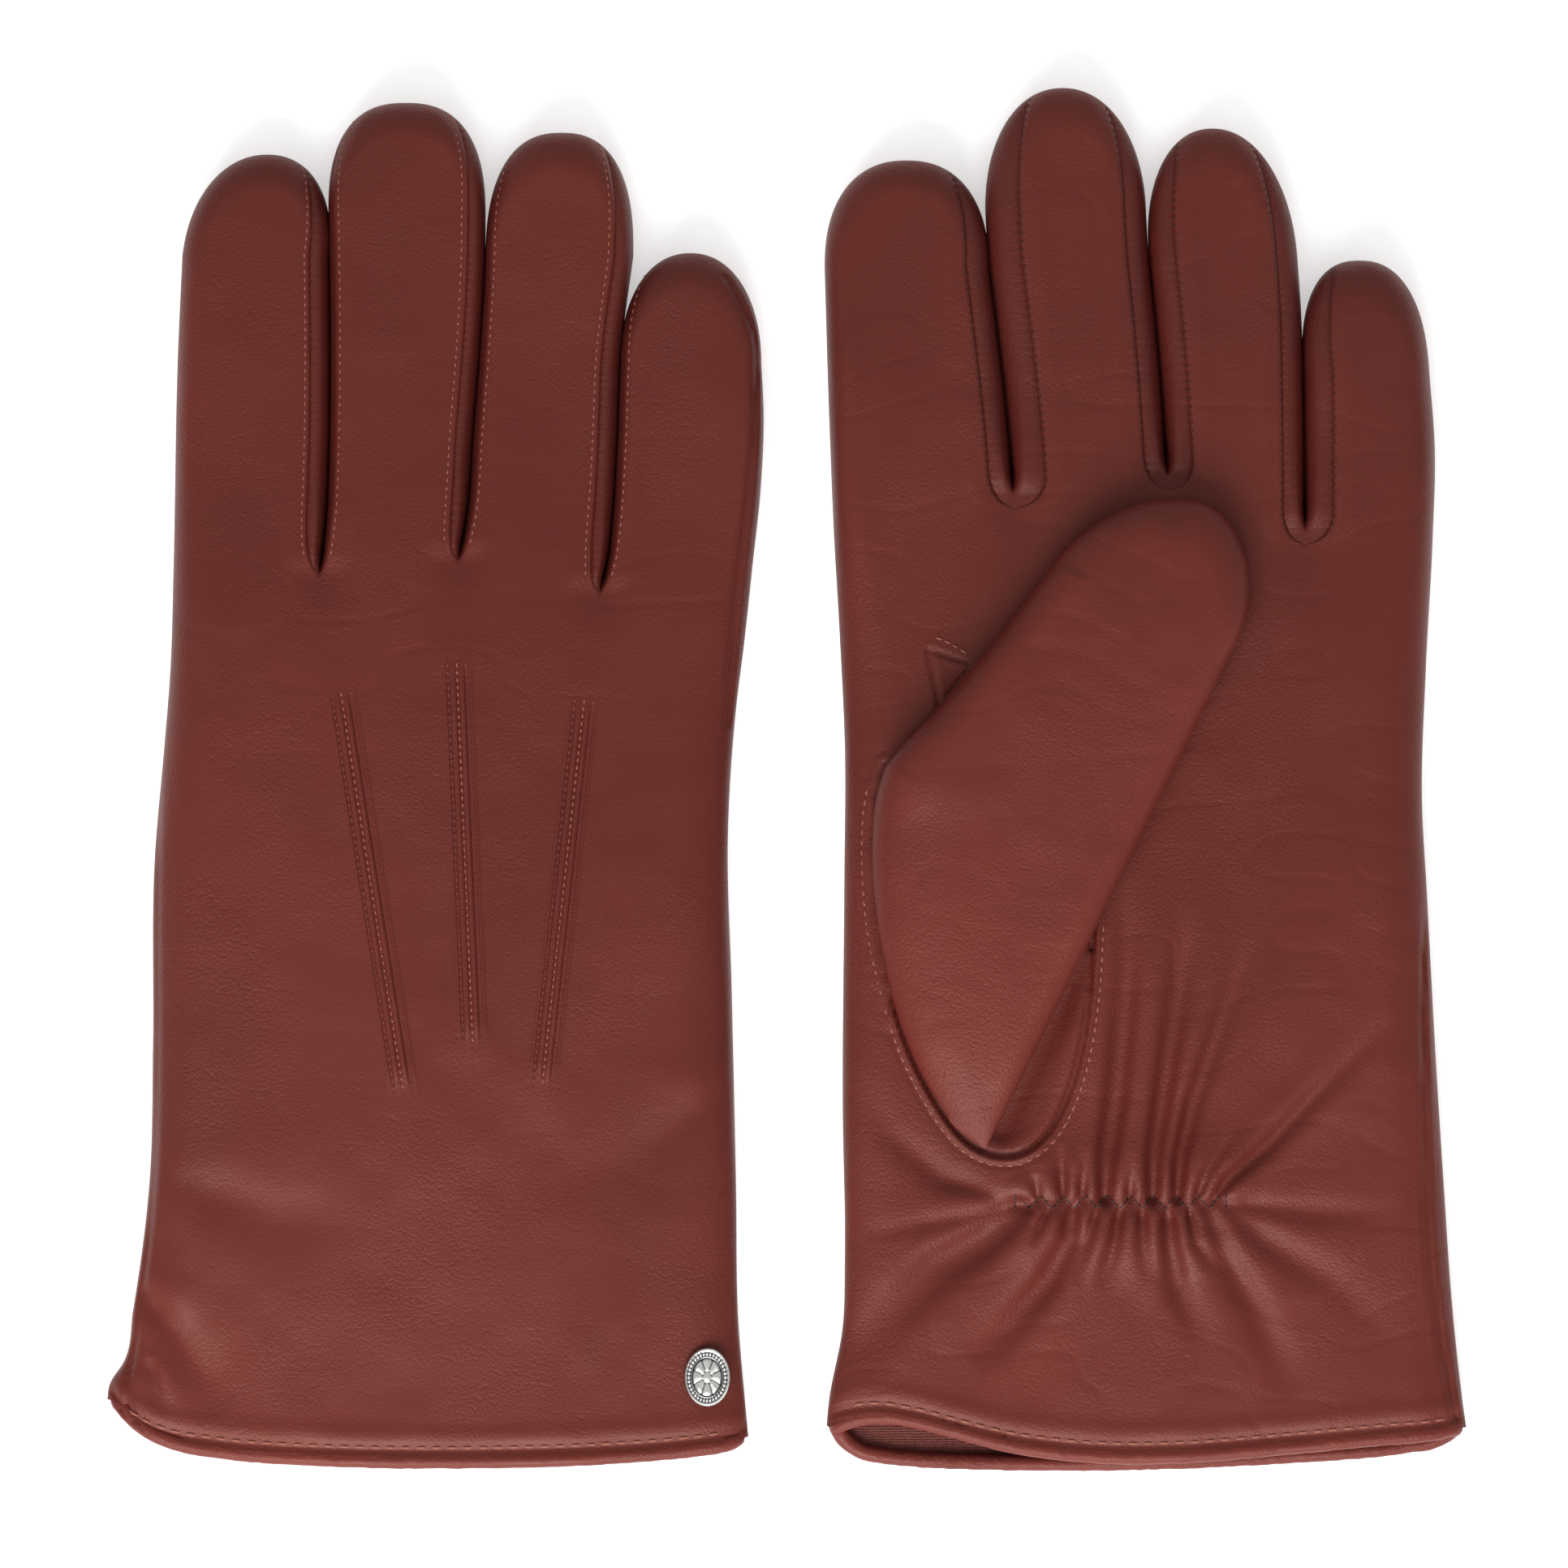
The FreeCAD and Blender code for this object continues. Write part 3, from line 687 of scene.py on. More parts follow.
GATHERS = (
    (1.2, 1.5, ((51.3, -78.5), (50.5, -68.5))),
    (1.3, 1.6, ((54.7, -78.5), (55.5, -69.0))),
    (2.4, 2.6, ((58.9, -78.5), (59.3, -71.5), (61.2, -59.4), (63.1, -36.6), (62.9, -18.0))),
    (1.3, 1.5, ((63.6, -78.5), (64.2, -69.5))),
    (2.4, 2.6, ((68.0, -78.5), (68.2, -70.8), (70.3, -56.3), (72.6, -40.4), (74.5, -24.0))),
    (2.2, 2.4, ((72.4, -78.5), (73.0, -70.8), (75.6, -60.1), (80.6, -45.7), (86.3, -30.0))),
    (1.1, 1.5, ((76.2, -78.5), (77.9, -73.8), (82.5, -66.5))),
    (1.5, 1.9, ((79.4, -78.6), (82.5, -74.6), (89.3, -69.0), (99.9, -57.8), (112.1, -44.9))),
    (0.7, 3.0, ((42.2, -79.5), (28.5, -74.6), (18.6, -66.2), (13.0, -56.0))),
    (0.8, 2.2, ((42.2, -80.2), (30.8, -82.2), (13.0, -86.0))),
    (0.8, 1.4, ((46.6, -78.5), (45.6, -73.8))),
    (2.3, 4.2, ((44.0, -80.5), (36.1, -86.7), (27.7, -92.0), (19.4, -100.4), (11.0, -111.0))),
    (1.2, 1.3, ((48.6, -80.5), (45.2, -87.5))),
    (2.0, 2.8, ((53.2, -80.5), (52.4, -86.7), (48.3, -94.3), (40.7, -103.4), (34.0, -109.5))),
    (1.3, 1.6, ((57.6, -80.5), (55.9, -86.7), (53.3, -94.8))),
    (1.3, 1.7, ((61.9, -80.5), (60.8, -86.7), (58.0, -96.0))),
    (1.3, 1.7, ((66.1, -80.5), (66.1, -86.7), (67.6, -94.8))),
    (1.8, 2.4, ((70.7, -80.5), (71.2, -86.7), (72.4, -94.3), (76.5, -105.0))),
    (1.2, 1.6, ((74.7, -80.5), (76.0, -86.7), (80.4, -93.3))),
    (1.1, 3.2, ((78.2, -80.5), (81.7, -89.0), (87.0, -98.9), (91.6, -108.8), (93.9, -116.5))),
    (0.8, 3.4, ((81.9, -80.6), (89.3, -86.7), (101.5, -94.3), (113.5, -106.5))),
    (0.6, 2.6, ((82.5, -79.3), (96.0, -81.0), (118.0, -82.0))),
)


def gathers(x, y):
    """Folds that fan out from the row of elastic in the palm."""
    total = sum(fold(x, y, depth, width, line) for depth, width, line in GATHERS)
    total = np.where(total < 0, 2.0 * np.tanh(total / 2.0), 1.3 * np.tanh(total / 1.3))
    away = np.abs(y - GATHER_Y)
    beside = np.clip(np.abs(x - sum(GATHER_X) / 2) - (GATHER_X[1] - GATHER_X[0]) / 2, 0, None)
    pinch = -0.5 * bell(away, 1.5) * bell(beside, 1.5)
    puffed = 1.25 * bell(away - 6, 6.5) * bell(beside, 5)
    return total + pinch + puffed - 0.6 * bell(away, 26) * bell(beside, 20)


def palm_relief(x, y):
    """The left palm's folds, without its seams."""
    return soft(x, y, 5) - 0.10 * creases(x, y, 8.0, 2.0, 25) + gathers(x, y)


def left_relief(x, y):
    relief = palm_relief(x, y) + thumb_seam(x, y)
    relief += groove(x, y, LEFT_SEAM, 0.9, 0.45) * smooth((-20 - y) / 14)
    relief += groove(x, y, GUSSET, 0.45, 0.45)
    return relief + cuff_relief(x, y, LEFT.cuff["upper"])


LEFT = Glove(
    "left",
    palm_up=True,
    stitch_inset=0.35,
    centre=64.8,
    left=curve((-128, 6.6), (-117, 7.4), (-103, 10.0), (-90, 10.4), (-62, 10.0), (-20, 10.3),
               (6, 10.4), (26, 9.5), (47, 8.3), (67, 7.5), (96, 6.6)),
    right=curve((-128, 128.2), (-117, 126.5), (-103, 124.9), (-76, 122.9), (-49, 121.2), (-21, 119.7),
                (-4, 118.8), (20, 119.5), (45, 120.8), (62, 121.2), (76, 120.2)),
    slits=(
        Slit(50.8, 39.0, (39, 43.4), (50.8, 42.2), (60, 41.5), (73, 40.3), (88, 38.5), (98, 37.3), (108, 36.7)),
        Slit(53.9, 41.0, (41, 71.9), (53.9, 71.1), (62, 70.5), (73, 69.8), (88, 68.5), (98, 67.5), (108, 66.9)),
        Slit(44.0, 35.5, (35.5, 96.6), (44, 96.6), (60, 96.6), (76, 96.4), (86, 96.2), (98, 95.4)),
    ),
    fingers=(
        Finger("index", 96.0, 116.1, 22.0, 2.3, (0, 4.4), (0, 4.5), (4.5, 5.0)),
        Finger("middle", 106.0, 129.7, 51.3, 2.12, (6.2, 4.2), (1.0, 4.5), (6.5, 5.0)),
        Finger("ring", 98.0, 122.1, 79.4, 2.12, (4.8, 4.2), (1.0, 4.5), (5.5, 5.0)),
        Finger("little", 76.0, 97.3, 107.0, 2.4, (5.2, 0), (1.0, 0), (6.0, 5.0)),
    ),
    strip_rise={"upper": 6.5, "lower": 12.0},
    crotch_rise={"upper": 2.0, "lower": -1.0},
    edge_radius=10.0,
    level=curve((-130, 5.0), (-60, 5.8), (127, 5.8)),
    top=curve((-130, 8.4), (-108, 9.6), (-90, 10.6), (-60, 12.0), (0, 12.6), (45, 12.3), (80, 12.2),
              (129, 11.0)),
    bottom=curve((-130, 1.5), (-60, 0.9), (127, 0.9)),
    cuff={
        "upper": curve((7.2, -121.6), (9.0, -120.7), (11.6, -120.0), (16.6, -119.5), (23.3, -120.5),
                       (31.4, -122.6), (41.5, -125.1), (51.6, -126.5), (61.6, -127.1), (74, -126.9),
                       (95, -125.2), (112, -123.6), (122, -122.7), (126.6, -121.8)),
        "lower": curve((7.2, -121.6), (8.6, -123.9), (11.0, -125.9), (15.5, -127.2), (22, -127.9), (34, -128.4),
                       (60, -128.6), (95, -127.2), (118, -125.2), (124, -124.0), (126.6, -121.8)),
    },
    points=(
        ((57.0, -58.6), (44.5, 17.9)),
        ((69.6, -50.5), (66.6, 22.4)),
        ((82.5, -57.8), (90.7, 15.9)),
    ),
    thumb_heel=(39.9, -67.0),
    badge=(118.2, -112.1, 1.3),
)
LEFT.slope = lambda x, y: 0.0 * x
LEFT.dent = lambda x, y: 0.0 * x
LEFT.relief = left_relief
LEFT.under_relief = lambda x, y: 0.4 * soft(x, y, 9)


# ---- the hand and the fingers ---------------------------------------------------------------

def spread(width, left_edge, right_edge):
    """Shares from 0 to 1 across a panel: close together at its seams and round its outer edges."""
    seam = np.array([0, 0.25, 0.5, 0.75, 1.0, 1.3, 1.7, 2.2, 2.8, 3.4])
    rounded = 9.0 * (1 - np.cos(np.linspace(0, np.pi / 2, 14)))
    left = rounded if left_edge else seam
    right = width - (rounded if right_edge else seam)[::-1]
    count = max(3, int((right[0] - left[-1]) / COLUMN_STEP) + 2)
    middle = np.linspace(left[-1], right[0], count)[1:-1]
    return np.concatenate([left, middle, right]) / width


def finger_stations(glove, i):
    """y of the rows below the tip, and the shares up the tip of the rows on it."""
    finger = glove.fingers[i]
    count = int((finger.shoulder - SPLIT_Y) / ROW_STEP) + 1
    return np.linspace(SPLIT_Y, finger.shoulder, count), np.sin(np.linspace(0, np.pi / 2, TIP_ROWS))[1:]


def round_tip(across, up, power):
    """Maps a square's half, -1 to 1 across and 0 to 1 up, on to half a rounded outline."""
    x = across * np.sqrt(1 - up ** 2 / 2)
    y = up * np.sqrt(1 - across ** 2 / 2)
    r, angle = np.hypot(x, y), np.arctan2(y, x)
    reach = (np.abs(np.cos(angle)) ** power + np.abs(np.sin(angle)) ** power) ** (1 / power)
    return r * np.cos(angle) / reach, r * np.sin(angle) / reach


def panel(glove, i, face, where, shares):
    """Points of a finger's panel: "main" between its seams, or the "left" or "right" side strip."""
    finger = glove.fingers[i]
    straight, tip = finger_stations(glove, i)

    def limits(y):
        left, right = glove.borders(i, y)
        strip_left, strip_right = glove.seam_strips(i, y, face)
        return {"main": (left + strip_left, right - strip_right),
                "left": (left + strip_left, left),
                "right": (right - strip_right, right)}[where]

    start, end = limits(straight)
    x = mix(start[:, None], end[:, None], shares[None, :])
    y = np.repeat(straight[:, None], len(shares), axis=1)
    shoulder = np.array([finger.shoulder])
    left, right = glove.borders(i, shoulder)
    half, middle = (right - left) / 2, (left + right) / 2
    start, end = ((limit - middle) / half for limit in limits(shoulder))
    across = mix(start, end, shares)[None, :] * np.ones((len(tip), 1))
    a, up = round_tip(across, tip[:, None] * np.ones((1, len(shares))), finger.power)
    tip_y = finger.shoulder + up * (finger.tip - finger.shoulder)
    tip_x = mix(middle, finger.tip_x, up) + half * a
    x, y = np.concatenate([x, tip_x]), np.concatenate([y, tip_y])
    z = glove.height(i, x, y, face)
    z = z + seam_offset(glove, i, face, where, x, y, shares) * (1 if face == "upper" else -1)
    return np.stack([x, y, z], axis=-1)


def seam_offset(glove, i, face, where, x, y, shares):
    """How far the leather drops towards a seam, with the small puckers that its stitches make."""
    offset = np.zeros_like(x)
    width = np.abs(x[:, -1:] - x[:, :1])
    distances = {"main": (shares * width, (1 - shares) * width), "left": (shares * width, None),
                 "right": (None, shares * width)}[where]
    pucker = 1 + 0.3 * np.sin(2 * np.pi * y / FINGER_STITCH_PITCH + 2 * noise(x, y, 9, 4))
    ends = np.minimum(1, 1.8 * glove.puff(i, x, y, face))
    for distance, crotch in zip(distances, glove.crotches(i, face)):
        if crotch is None or distance is None:
            continue
        ramp = smooth((y - crotch + 1.5) / 5)
        if where == "main":
            edge = SEAM_DROP * (1 - quarter(distance / 0.9))
            row = 0.10 * bell(distance - glove.stitch_inset, 0.35) * pucker
            offset -= ramp * ends * (edge + row - 0.16 * bell(distance - 3.0, 1.6))
        else:
            offset -= ramp * ends * SEAM_DROP * np.exp(-distance / 1.3) * (0.5 + 0.5 * pucker)
    return offset


def hand_grid(glove, face, columns):
    """The hand from the cuff to the fingers, as one grid under all four fingers' columns."""
    count = int((SPLIT_Y - CUFF_Y) / ROW_STEP) + 1
    share = np.linspace(0, 1, count)[:, None]
    straight = mix(CUFF_Y, SPLIT_Y, share)
    blocks = []
    for i, shares in enumerate(columns):
        y = straight
        for _ in range(9):
            left, right = glove.borders(i, y)
            x = mix(left, right, shares[None, :])
            y = mix(y, mix(glove.cuff[face](x), SPLIT_Y, share), 0.6)
        z = glove.height(i, x, y, face)
        block = np.stack([x, y, z], axis=-1)
        blocks.append(block if i == 0 else block[:, 1:])
    return np.concatenate(blocks, axis=1)


def inset(grid, middle, amount, level):
    """The same face moved in towards the inside, for the lining."""
    moved = grid.copy()
    half = np.maximum(np.abs(grid[..., 0] - middle), 1e-6)
    moved[..., 0] = middle + (grid[..., 0] - middle) * (1 - amount / half.max())
    thick = np.abs(grid[..., 2] - level)
    moved[..., 2] = level + (grid[..., 2] - level) * np.clip((thick.max() - amount) / thick.max(), 0, 1)
    return moved


def attach(obj, glove, replaced=None):
    """Fixes a piece to the glove's hand, in place of a CAD node where it has one."""
    if replaced:
        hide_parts(f"{glove.side}_{replaced}")
    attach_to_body(obj, f"{glove.side}_hand")


def build_hand_and_fingers(glove):
    """The leather and the lining of the hand and of the four fingers."""
    side = glove.side
    columns = []
    for i in range(4):
        left, right = glove.borders(i, np.array(SPLIT_Y))
        columns.append(spread(float(right - left), i == 0, i == 3))
    upper, lower = hand_grid(glove, "upper", columns), hand_grid(glove, "lower", columns)
    hand = grids_object(f"{side}_hand_leather", [(upper, False), (lower, True)], LEATHER)
    level = glove.level(upper[..., 1])
    lining_grids = [(inset(g[::4, ::3], glove.centre, 1.7, level[::4, ::3]), flip)
                    for g, flip in ((upper, True), (lower, False))]
    lining = grids_object(f"{side}_hand_knit", lining_grids, KNIT)
    fingers = [build_finger(glove, i, columns[i]) for i in range(4)]
    weld_normals([hand] + [pieces[0] for pieces in fingers])
    attach(hand, glove, "trank")
    attach(lining, glove, "hand_lining")
    for finger, pieces in zip(glove.fingers, fingers):
        for obj in pieces:
            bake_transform(obj)
    return upper, lower


def build_finger(glove, i, columns):
    """A finger's leather, side strips, lining and thread."""
    name = f"{glove.side}_{glove.fingers[i].name}"
    main = {face: panel(glove, i, face, "main", columns) for face in ("upper", "lower")}
    sheath = grids_object(f"{name}_leather", [(main["upper"], False), (main["lower"], True)], LEATHER)
    strips = side_strips(glove, i)
    inner = finger_lining(glove, i, main)
    threads = finger_stitches(glove, i, main["upper"], columns)
    plural = "s" if glove.fingers[i].name in ("middle", "ring") else ""
    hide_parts(f"{name}_sheath")
    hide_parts(f"{name}_fourchette{plural}")
    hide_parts(f"{name}_lining")
    return sheath, strips, inner, threads


def side_strips(glove, i):
    """A finger's side strips, each from the seam on one face round to the seam on the other."""
    grids = []
    rounded = 1 - 0.4 * np.cos(np.linspace(0.3, np.pi / 2, 6))
    shares = np.concatenate([[0, 0.06, 0.13, 0.22, 0.33, 0.46, 0.6], rounded])
    for where, outer in (("left", 0), ("right", 3)):
        if i != outer:
            grids.append((panel(glove, i, "upper", where, shares), where == "left"))
            grids.append((panel(glove, i, "lower", where, shares), where == "right"))
    # The strips' darker leather is painted shade.
    return grids_object(f"{glove.side}_{glove.fingers[i].name}_strips", grids, SHADED_STRIP_LEATHER)


def finger_lining(glove, i, main):
    finger = glove.fingers[i]
    pieces = []
    for face, flip in (("upper", True), ("lower", False)):
        grid = main[face][::5, ::3].copy()
        level = glove.level(grid[..., 1])
        left, right = glove.borders(i, np.minimum(grid[..., 1], finger.shoulder))
        middle = (left + right) / 2
        grid[..., 0] = middle + (grid[..., 0] - middle) * 0.80
        grid[..., 1] = grid[..., 1] - 1.6 * smooth((grid[..., 1] - finger.shoulder) / 10)
        grid[..., 2] = level + (grid[..., 2] - level) * 0.68
        pieces.append((grid, flip))
    return grids_object(f"{glove.side}_{finger.name}_knit", pieces, KNIT)


def line_on_grid(grid, column):
    """A column of a grid as a line, with the face's directions along it."""
    line = grid[:, column]
    across = grid[:, min(column + 1, grid.shape[1] - 1)] - grid[:, max(column - 1, 0)]
    along = np.gradient(line, axis=0)
    normal = unit(np.cross(across, along))
    normal[normal[:, 2] < 0] *= -1
    return line, normal


def stitches_along(line, normals, pitch):
    """Places for threads every pitch along a line, their directions and the face's."""
    distances = distances_along(line)
    at = stations(distances, pitch)
    direction = unit(values_at(at + 0.3, distances, line) - values_at(at - 0.3, distances, line))
    normal = values_at(at, distances, normals)
    normal -= (normal * direction).sum(1)[:, None] * direction
    return values_at(at, distances, line), direction, unit(normal)


def finger_stitches(glove, i, main, shares):
    """Rows of thread just inside the seams of a finger's upper panel."""
    lines = []
    width = abs(main[40, -1, 0] - main[40, 0, 0])
    column = int(np.argmin(np.abs(shares * width - glove.stitch_inset)))
    for crotch, place in zip(glove.crotches(i, "upper"), (column, len(shares) - 1 - column)):
        if crotch is None:
            continue
        line, normals = line_on_grid(main, place)
        keep = line[:, 1] > crotch + 2.5
        keep[-4:] = False
        lines.append(stitches_along(line[keep], normals[keep], FINGER_STITCH_PITCH))
    material = DARK_THREAD if glove.palm_up else THREAD
    return stitches_object(f"{glove.side}_{glove.fingers[i].name}_thread", lines, material, 1.1, 0.32)


# ---- the cuff -------------------------------------------------------------------------------

def build_cuff(glove, upper, lower):
    """The rolled binding and the row of stitches above it."""
    loop = np.concatenate([upper[0], lower[0][::-1][1:-1]])
    level = glove.level(loop[:, 1])
    loop[:, 2] = level + (loop[:, 2] - level) * 0.60
    middle = (loop[:, 0].min() + loop[:, 0].max()) / 2
    loop[:, 0] = middle + (loop[:, 0] - middle) * 0.975
    closed = np.vstack([loop, loop[:1]])
    distances = distances_along(closed)
    path = values_at(np.linspace(0, distances[-1], 420, endpoint=False), distances, closed)
    for _ in range(9):
        path = (np.roll(path, 1, axis=0) + path + np.roll(path, -1, axis=0)) / 3
    binding = tube_object(f"{glove.side}_binding", path, BINDING_RADIUS, BINDING_LEATHER, 14, 0.05)
    attach(binding, glove, "cuff_binding")
    lines = []
    for face in ("upper", "lower"):
        x = np.linspace(glove.left(-118.0) + 4.5, glove.right(-118.0) - 3, 300)
        y = glove.cuff[face](x) + CUFF_STITCH_RISE
        points, normals = glove.surface(x, y, face)
        lines.append(stitches_along(points + 0.1 * normals, normals, CUFF_STITCH_PITCH))
    row = stitches_object(f"{glove.side}_cuff_thread", lines, THREAD, 2.5, 0.56)
    attach(row, glove, "cuff_stitching")


# ---- the points on the back -----------------------------------------------------------------

def build_points(glove):
    """Three raised lines, each with two welts between three rows of stitches."""
    face = "lower" if glove.palm_up else "upper"
    out = -1 if glove.palm_up else 1
    grids, lines = [], []
    rows = (-1.75, 0.0, 1.75)
    depths = (0.52, 0.40, 0.85)
    s = np.linspace(-3.2, 3.2, 53)
    for near, far in glove.points:
        near, far = np.array(near), np.array(far)
        length = np.linalg.norm(far - near)
        along = (far - near) / length
        across = np.array([along[1], -along[0]])
        t = np.linspace(0, length, int(length / 0.35))
        x = near[0] + along[0] * t[:, None] + across[0] * s[None, :]
        y = near[1] + along[1] * t[:, None] + across[1] * s[None, :]
        points, _ = glove.surface(x, y, face)
        ends = smooth(t / 6.0) * smooth((length - t) / 6.0)
        pucker = 0.5 + 0.5 * np.cos(2 * np.pi * t / POINT_STITCH_PITCH)
        profile = 0.55 * smooth((3.1 - np.abs(s)) / 1.3)[None, :] * np.ones((len(t), 1))
        for row, depth in zip(rows, depths):
            profile -= (depth + 0.14 * pucker[:, None]) * bell(s - row, 0.42)[None, :]
        points[..., 2] += out * (profile * ends[:, None] - 0.05 * (np.abs(s) > 3.15))
        grids.append((points, glove.palm_up))
        for row in rows:
            column = int(np.argmin(np.abs(s - row)))
            line, normals = line_on_grid(points, column)
            normals = normals * out
            lines.append(stitches_along(line[3:-3] + (0, 0, 0.08 * out), normals[3:-3], POINT_STITCH_PITCH))
    ridges = grids_object(f"{glove.side}_points_leather", grids, LEATHER)
    attach(ridges, glove, "back_points")
    # The outer rows sit in deeper grooves and get the darker thread: painted shade.
    outer = lines[0::3] + lines[2::3]
    for kind, chosen, material in (("light", lines[1::3], THREAD), ("dark", outer, SHADED_THREAD)):
        threads = stitches_object(f"{glove.side}_points_{kind}_thread", chosen, material, 1.0, 0.32)
        attach(threads, glove)


# ---- the thumb ------------------------------------------------------------------------------

def thumb_grid(glove, face):
    """Points of the thumb's outer or under face."""
    shares = (1 - np.cos(np.linspace(0, np.pi, 71))) / 2
    heel = THUMB_HEEL + (THUMB_WIDEST - THUMB_HEEL) * np.linspace(0, 1, 90) ** 2
    free = np.linspace(THUMB_WIDEST, THUMB_SHOULDER, 70)[1:]
    t = np.concatenate([heel, free])
    left, right = thumb_edges(t)
    s = mix(left[:, None], right[:, None], shares[None, :])
    t = np.repeat(t[:, None], len(shares), axis=1)
    left, right = thumb_edges(np.array(THUMB_SHOULDER))
    half, middle = (right - left) / 2, (left + right) / 2
    up = np.sin(np.linspace(0, np.pi / 2, 50))[1:, None] * np.ones((1, len(shares)))
    a, up = round_tip((2 * shares - 1)[None, :] * np.ones_like(up), up, THUMB_POWER)
    tip_s = mix(middle, THUMB_TIP_SIDE, up) + half * a
    tip_t = THUMB_SHOULDER + up * (THUMB_TIP - THUMB_SHOULDER)
    s, t = np.concatenate([s, tip_s]), np.concatenate([t, tip_t])
    x = glove.thumb_heel[0] + s * THUMB_SIDE[0] + t * THUMB_ALONG[0]
    y = glove.thumb_heel[1] + s * THUMB_SIDE[1] + t * THUMB_ALONG[1]
    return np.stack([x, y, thumb_height(glove, s, t, x, y, face)], axis=-1)


THUMB_THICKNESS = curve((-3.5, 1.4), (8, 4.5), (25, 6.6), (52, 8.1), (80, 9.0), (122.8, 8.4))
THUMB_LEFT_RADIUS = curve((-3.5, 7.0), (20, 18.0), (44, 17.0), (56, 9.0), (70, 6.0), (100, 6.5))


def thumb_puff(s, t):
    left, right = thumb_edges(np.minimum(t, THUMB_SHOULDER))
    gap_left, gap_right = s - left, right - s
    flat = quarter(gap_left / THUMB_LEFT_RADIUS(t)) * quarter(gap_right / 5.0)
    left, right = thumb_edges(np.array(THUMB_SHOULDER))
    half, middle = (right - left) / 2, (left + right) / 2
    up = (t - THUMB_SHOULDER) / (THUMB_TIP - THUMB_SHOULDER)
    across = (s - mix(middle, THUMB_TIP_SIDE, np.clip(up, 0, 1))) / half
    radius = mix(8.5, 5.0, smooth(across + 0.5))
    radius = mix(radius, 7.5, smooth(up))
    heel = quarter((t - THUMB_HEEL) / mix(15.0, 5.0, smooth((s + 14) / 11)))
    return np.where(up > 0, tip_puff(across, up, THUMB_POWER, half, radius), flat * heel)


def palm_plain(glove, x, y):
    """z of the palm under the thumb, without its seams."""
    column = sum((x > glove.slit(k, y)).astype(int) for k in range(3))
    puff = np.choose(column, [glove.puff(i, x, y, "upper") for i in range(4)])
    level = glove.level(y)
    return level + puff * (glove.top(y) - level) + palm_relief(x, y) * np.minimum(1, 1.6 * puff)


def thumb_height(glove, s, t, x, y, face):
    puff = thumb_puff(s, t)
    if not glove.palm_up:
        middle, half = 3.3, 2.8
        return middle + (half if face == "upper" else -half) * puff
    base = palm_plain(glove, x, y) + 0.1
    thickness = THUMB_THICKNESS(t)
    free = mix(smooth((t - 42) / 22), 1.0, smooth((s + 22) / 16))
    level = base + 0.40 * thickness * free
    if face == "lower":
        return level - (level - base) * puff
    relief = 0.9 * soft(x, y, 14) - 0.05 * creases(x, y, 9.0, 1.6, 41)
    return level + (base + thickness - level) * puff + relief * np.minimum(1, 1.5 * puff)


def build_thumb(glove):
    side = glove.side
    upper, lower = thumb_grid(glove, "upper"), thumb_grid(glove, "lower")
    # The thumb's lighter leather is painted light.
    thumb = grids_object(f"{side}_thumb_leather", [(upper, False), (lower, True)], LIT_THUMB_LEATHER)
    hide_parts(f"{side}_thumb_sheath")
    grids = []
    for grid, flip in ((upper, True), (lower, False)):
        coarse = grid[::5, ::3].copy()
        middle = (upper[::5, ::3] + lower[::5, ::3]) / 2
        centre = middle.mean(axis=1, keepdims=True)
        coarse = middle + (coarse - middle) * 0.6
        grids.append((centre + (coarse - centre) * 0.84, flip))
    lining = grids_object(f"{side}_thumb_knit", grids, KNIT)
    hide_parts(f"{side}_thumb_lining")
    weld_normals([thumb])
    for obj in (thumb, lining):
        swing(obj, glove)


def swing(obj, glove):
    """Bakes the piece's transform into its mesh. The place of the thumb's base is worked out but not used."""
    x, y = glove.centre + THUMB_BASE[0], THUMB_BASE[1]
    z = glove.top(y) if glove.palm_up else 3.0
    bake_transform(obj)


THUMB_BASE = (-46.0, -20.0)


# ---- the small pieces -----------------------------------------------------------------------

def build_gusset(glove):
    """The small tab of leather let in at the top of the thumb hole."""
    face = "upper" if glove.palm_up else "lower"
    out = 1 if glove.palm_up else -1
    shift = glove.centre - LEFT.centre
    a, b, c = (np.array(p) + (shift, 0) for p in GUSSET)
    u = np.linspace(0, 1, 15)[:, None]
    v = np.linspace(0, 1, 15)[None, :]
    a, b, c = (mix(corner, (a + b + c) / 3, 0.12) for corner in (a, b, c))
    x = mix(mix(a[0], b[0], u), c[0], v)
    y = mix(mix(a[1], b[1], u), c[1], v)
    points, _ = glove.surface(x, y, face)
    edge = np.minimum(np.minimum(u, 1 - u), np.minimum(v, 1 - v)) * 4
    points[..., 2] += out * (0.22 * quarter(np.minimum(edge, 1)) - 0.05)
    tab = grids_object(f"{glove.side}_gusset_leather", [(points, glove.palm_up)], LEATHER)
    attach(tab, glove, "thumb_gusset")


def sewn(glove, line, pitch, lift):
    """Threads on the palm along a plan line, which is given for the left glove."""
    x, y = (line + (glove.centre - LEFT.centre, 0)).T
    points, normals = glove.surface(x, y, "upper" if glove.palm_up else "lower")
    return stitches_along(points + lift * normals, normals, pitch)


def build_palm_thread(glove):
    """The stitches round the thumb hole and along the tab."""
    ahead = unit(np.gradient(THUMB_SEAM, axis=0))
    outward = (THUMB_SEAM + 1.85 * np.stack([ahead[:, 1], -ahead[:, 0]], axis=1))[10:]
    lines = []
    for line, pitch in ((outward, 1.9), (spline_line([(27.0, 26.6), (30.2, 25.2), (33.8, 23.0)]), 1.7)):
        distances = distances_along(line)
        lines.append(sewn(glove, values_at(stations(distances, 0.5), distances, line), pitch, 0.1))
    attach(stitches_object(f"{glove.side}_palm_thread", lines, THREAD, 1.5, 0.42), glove)


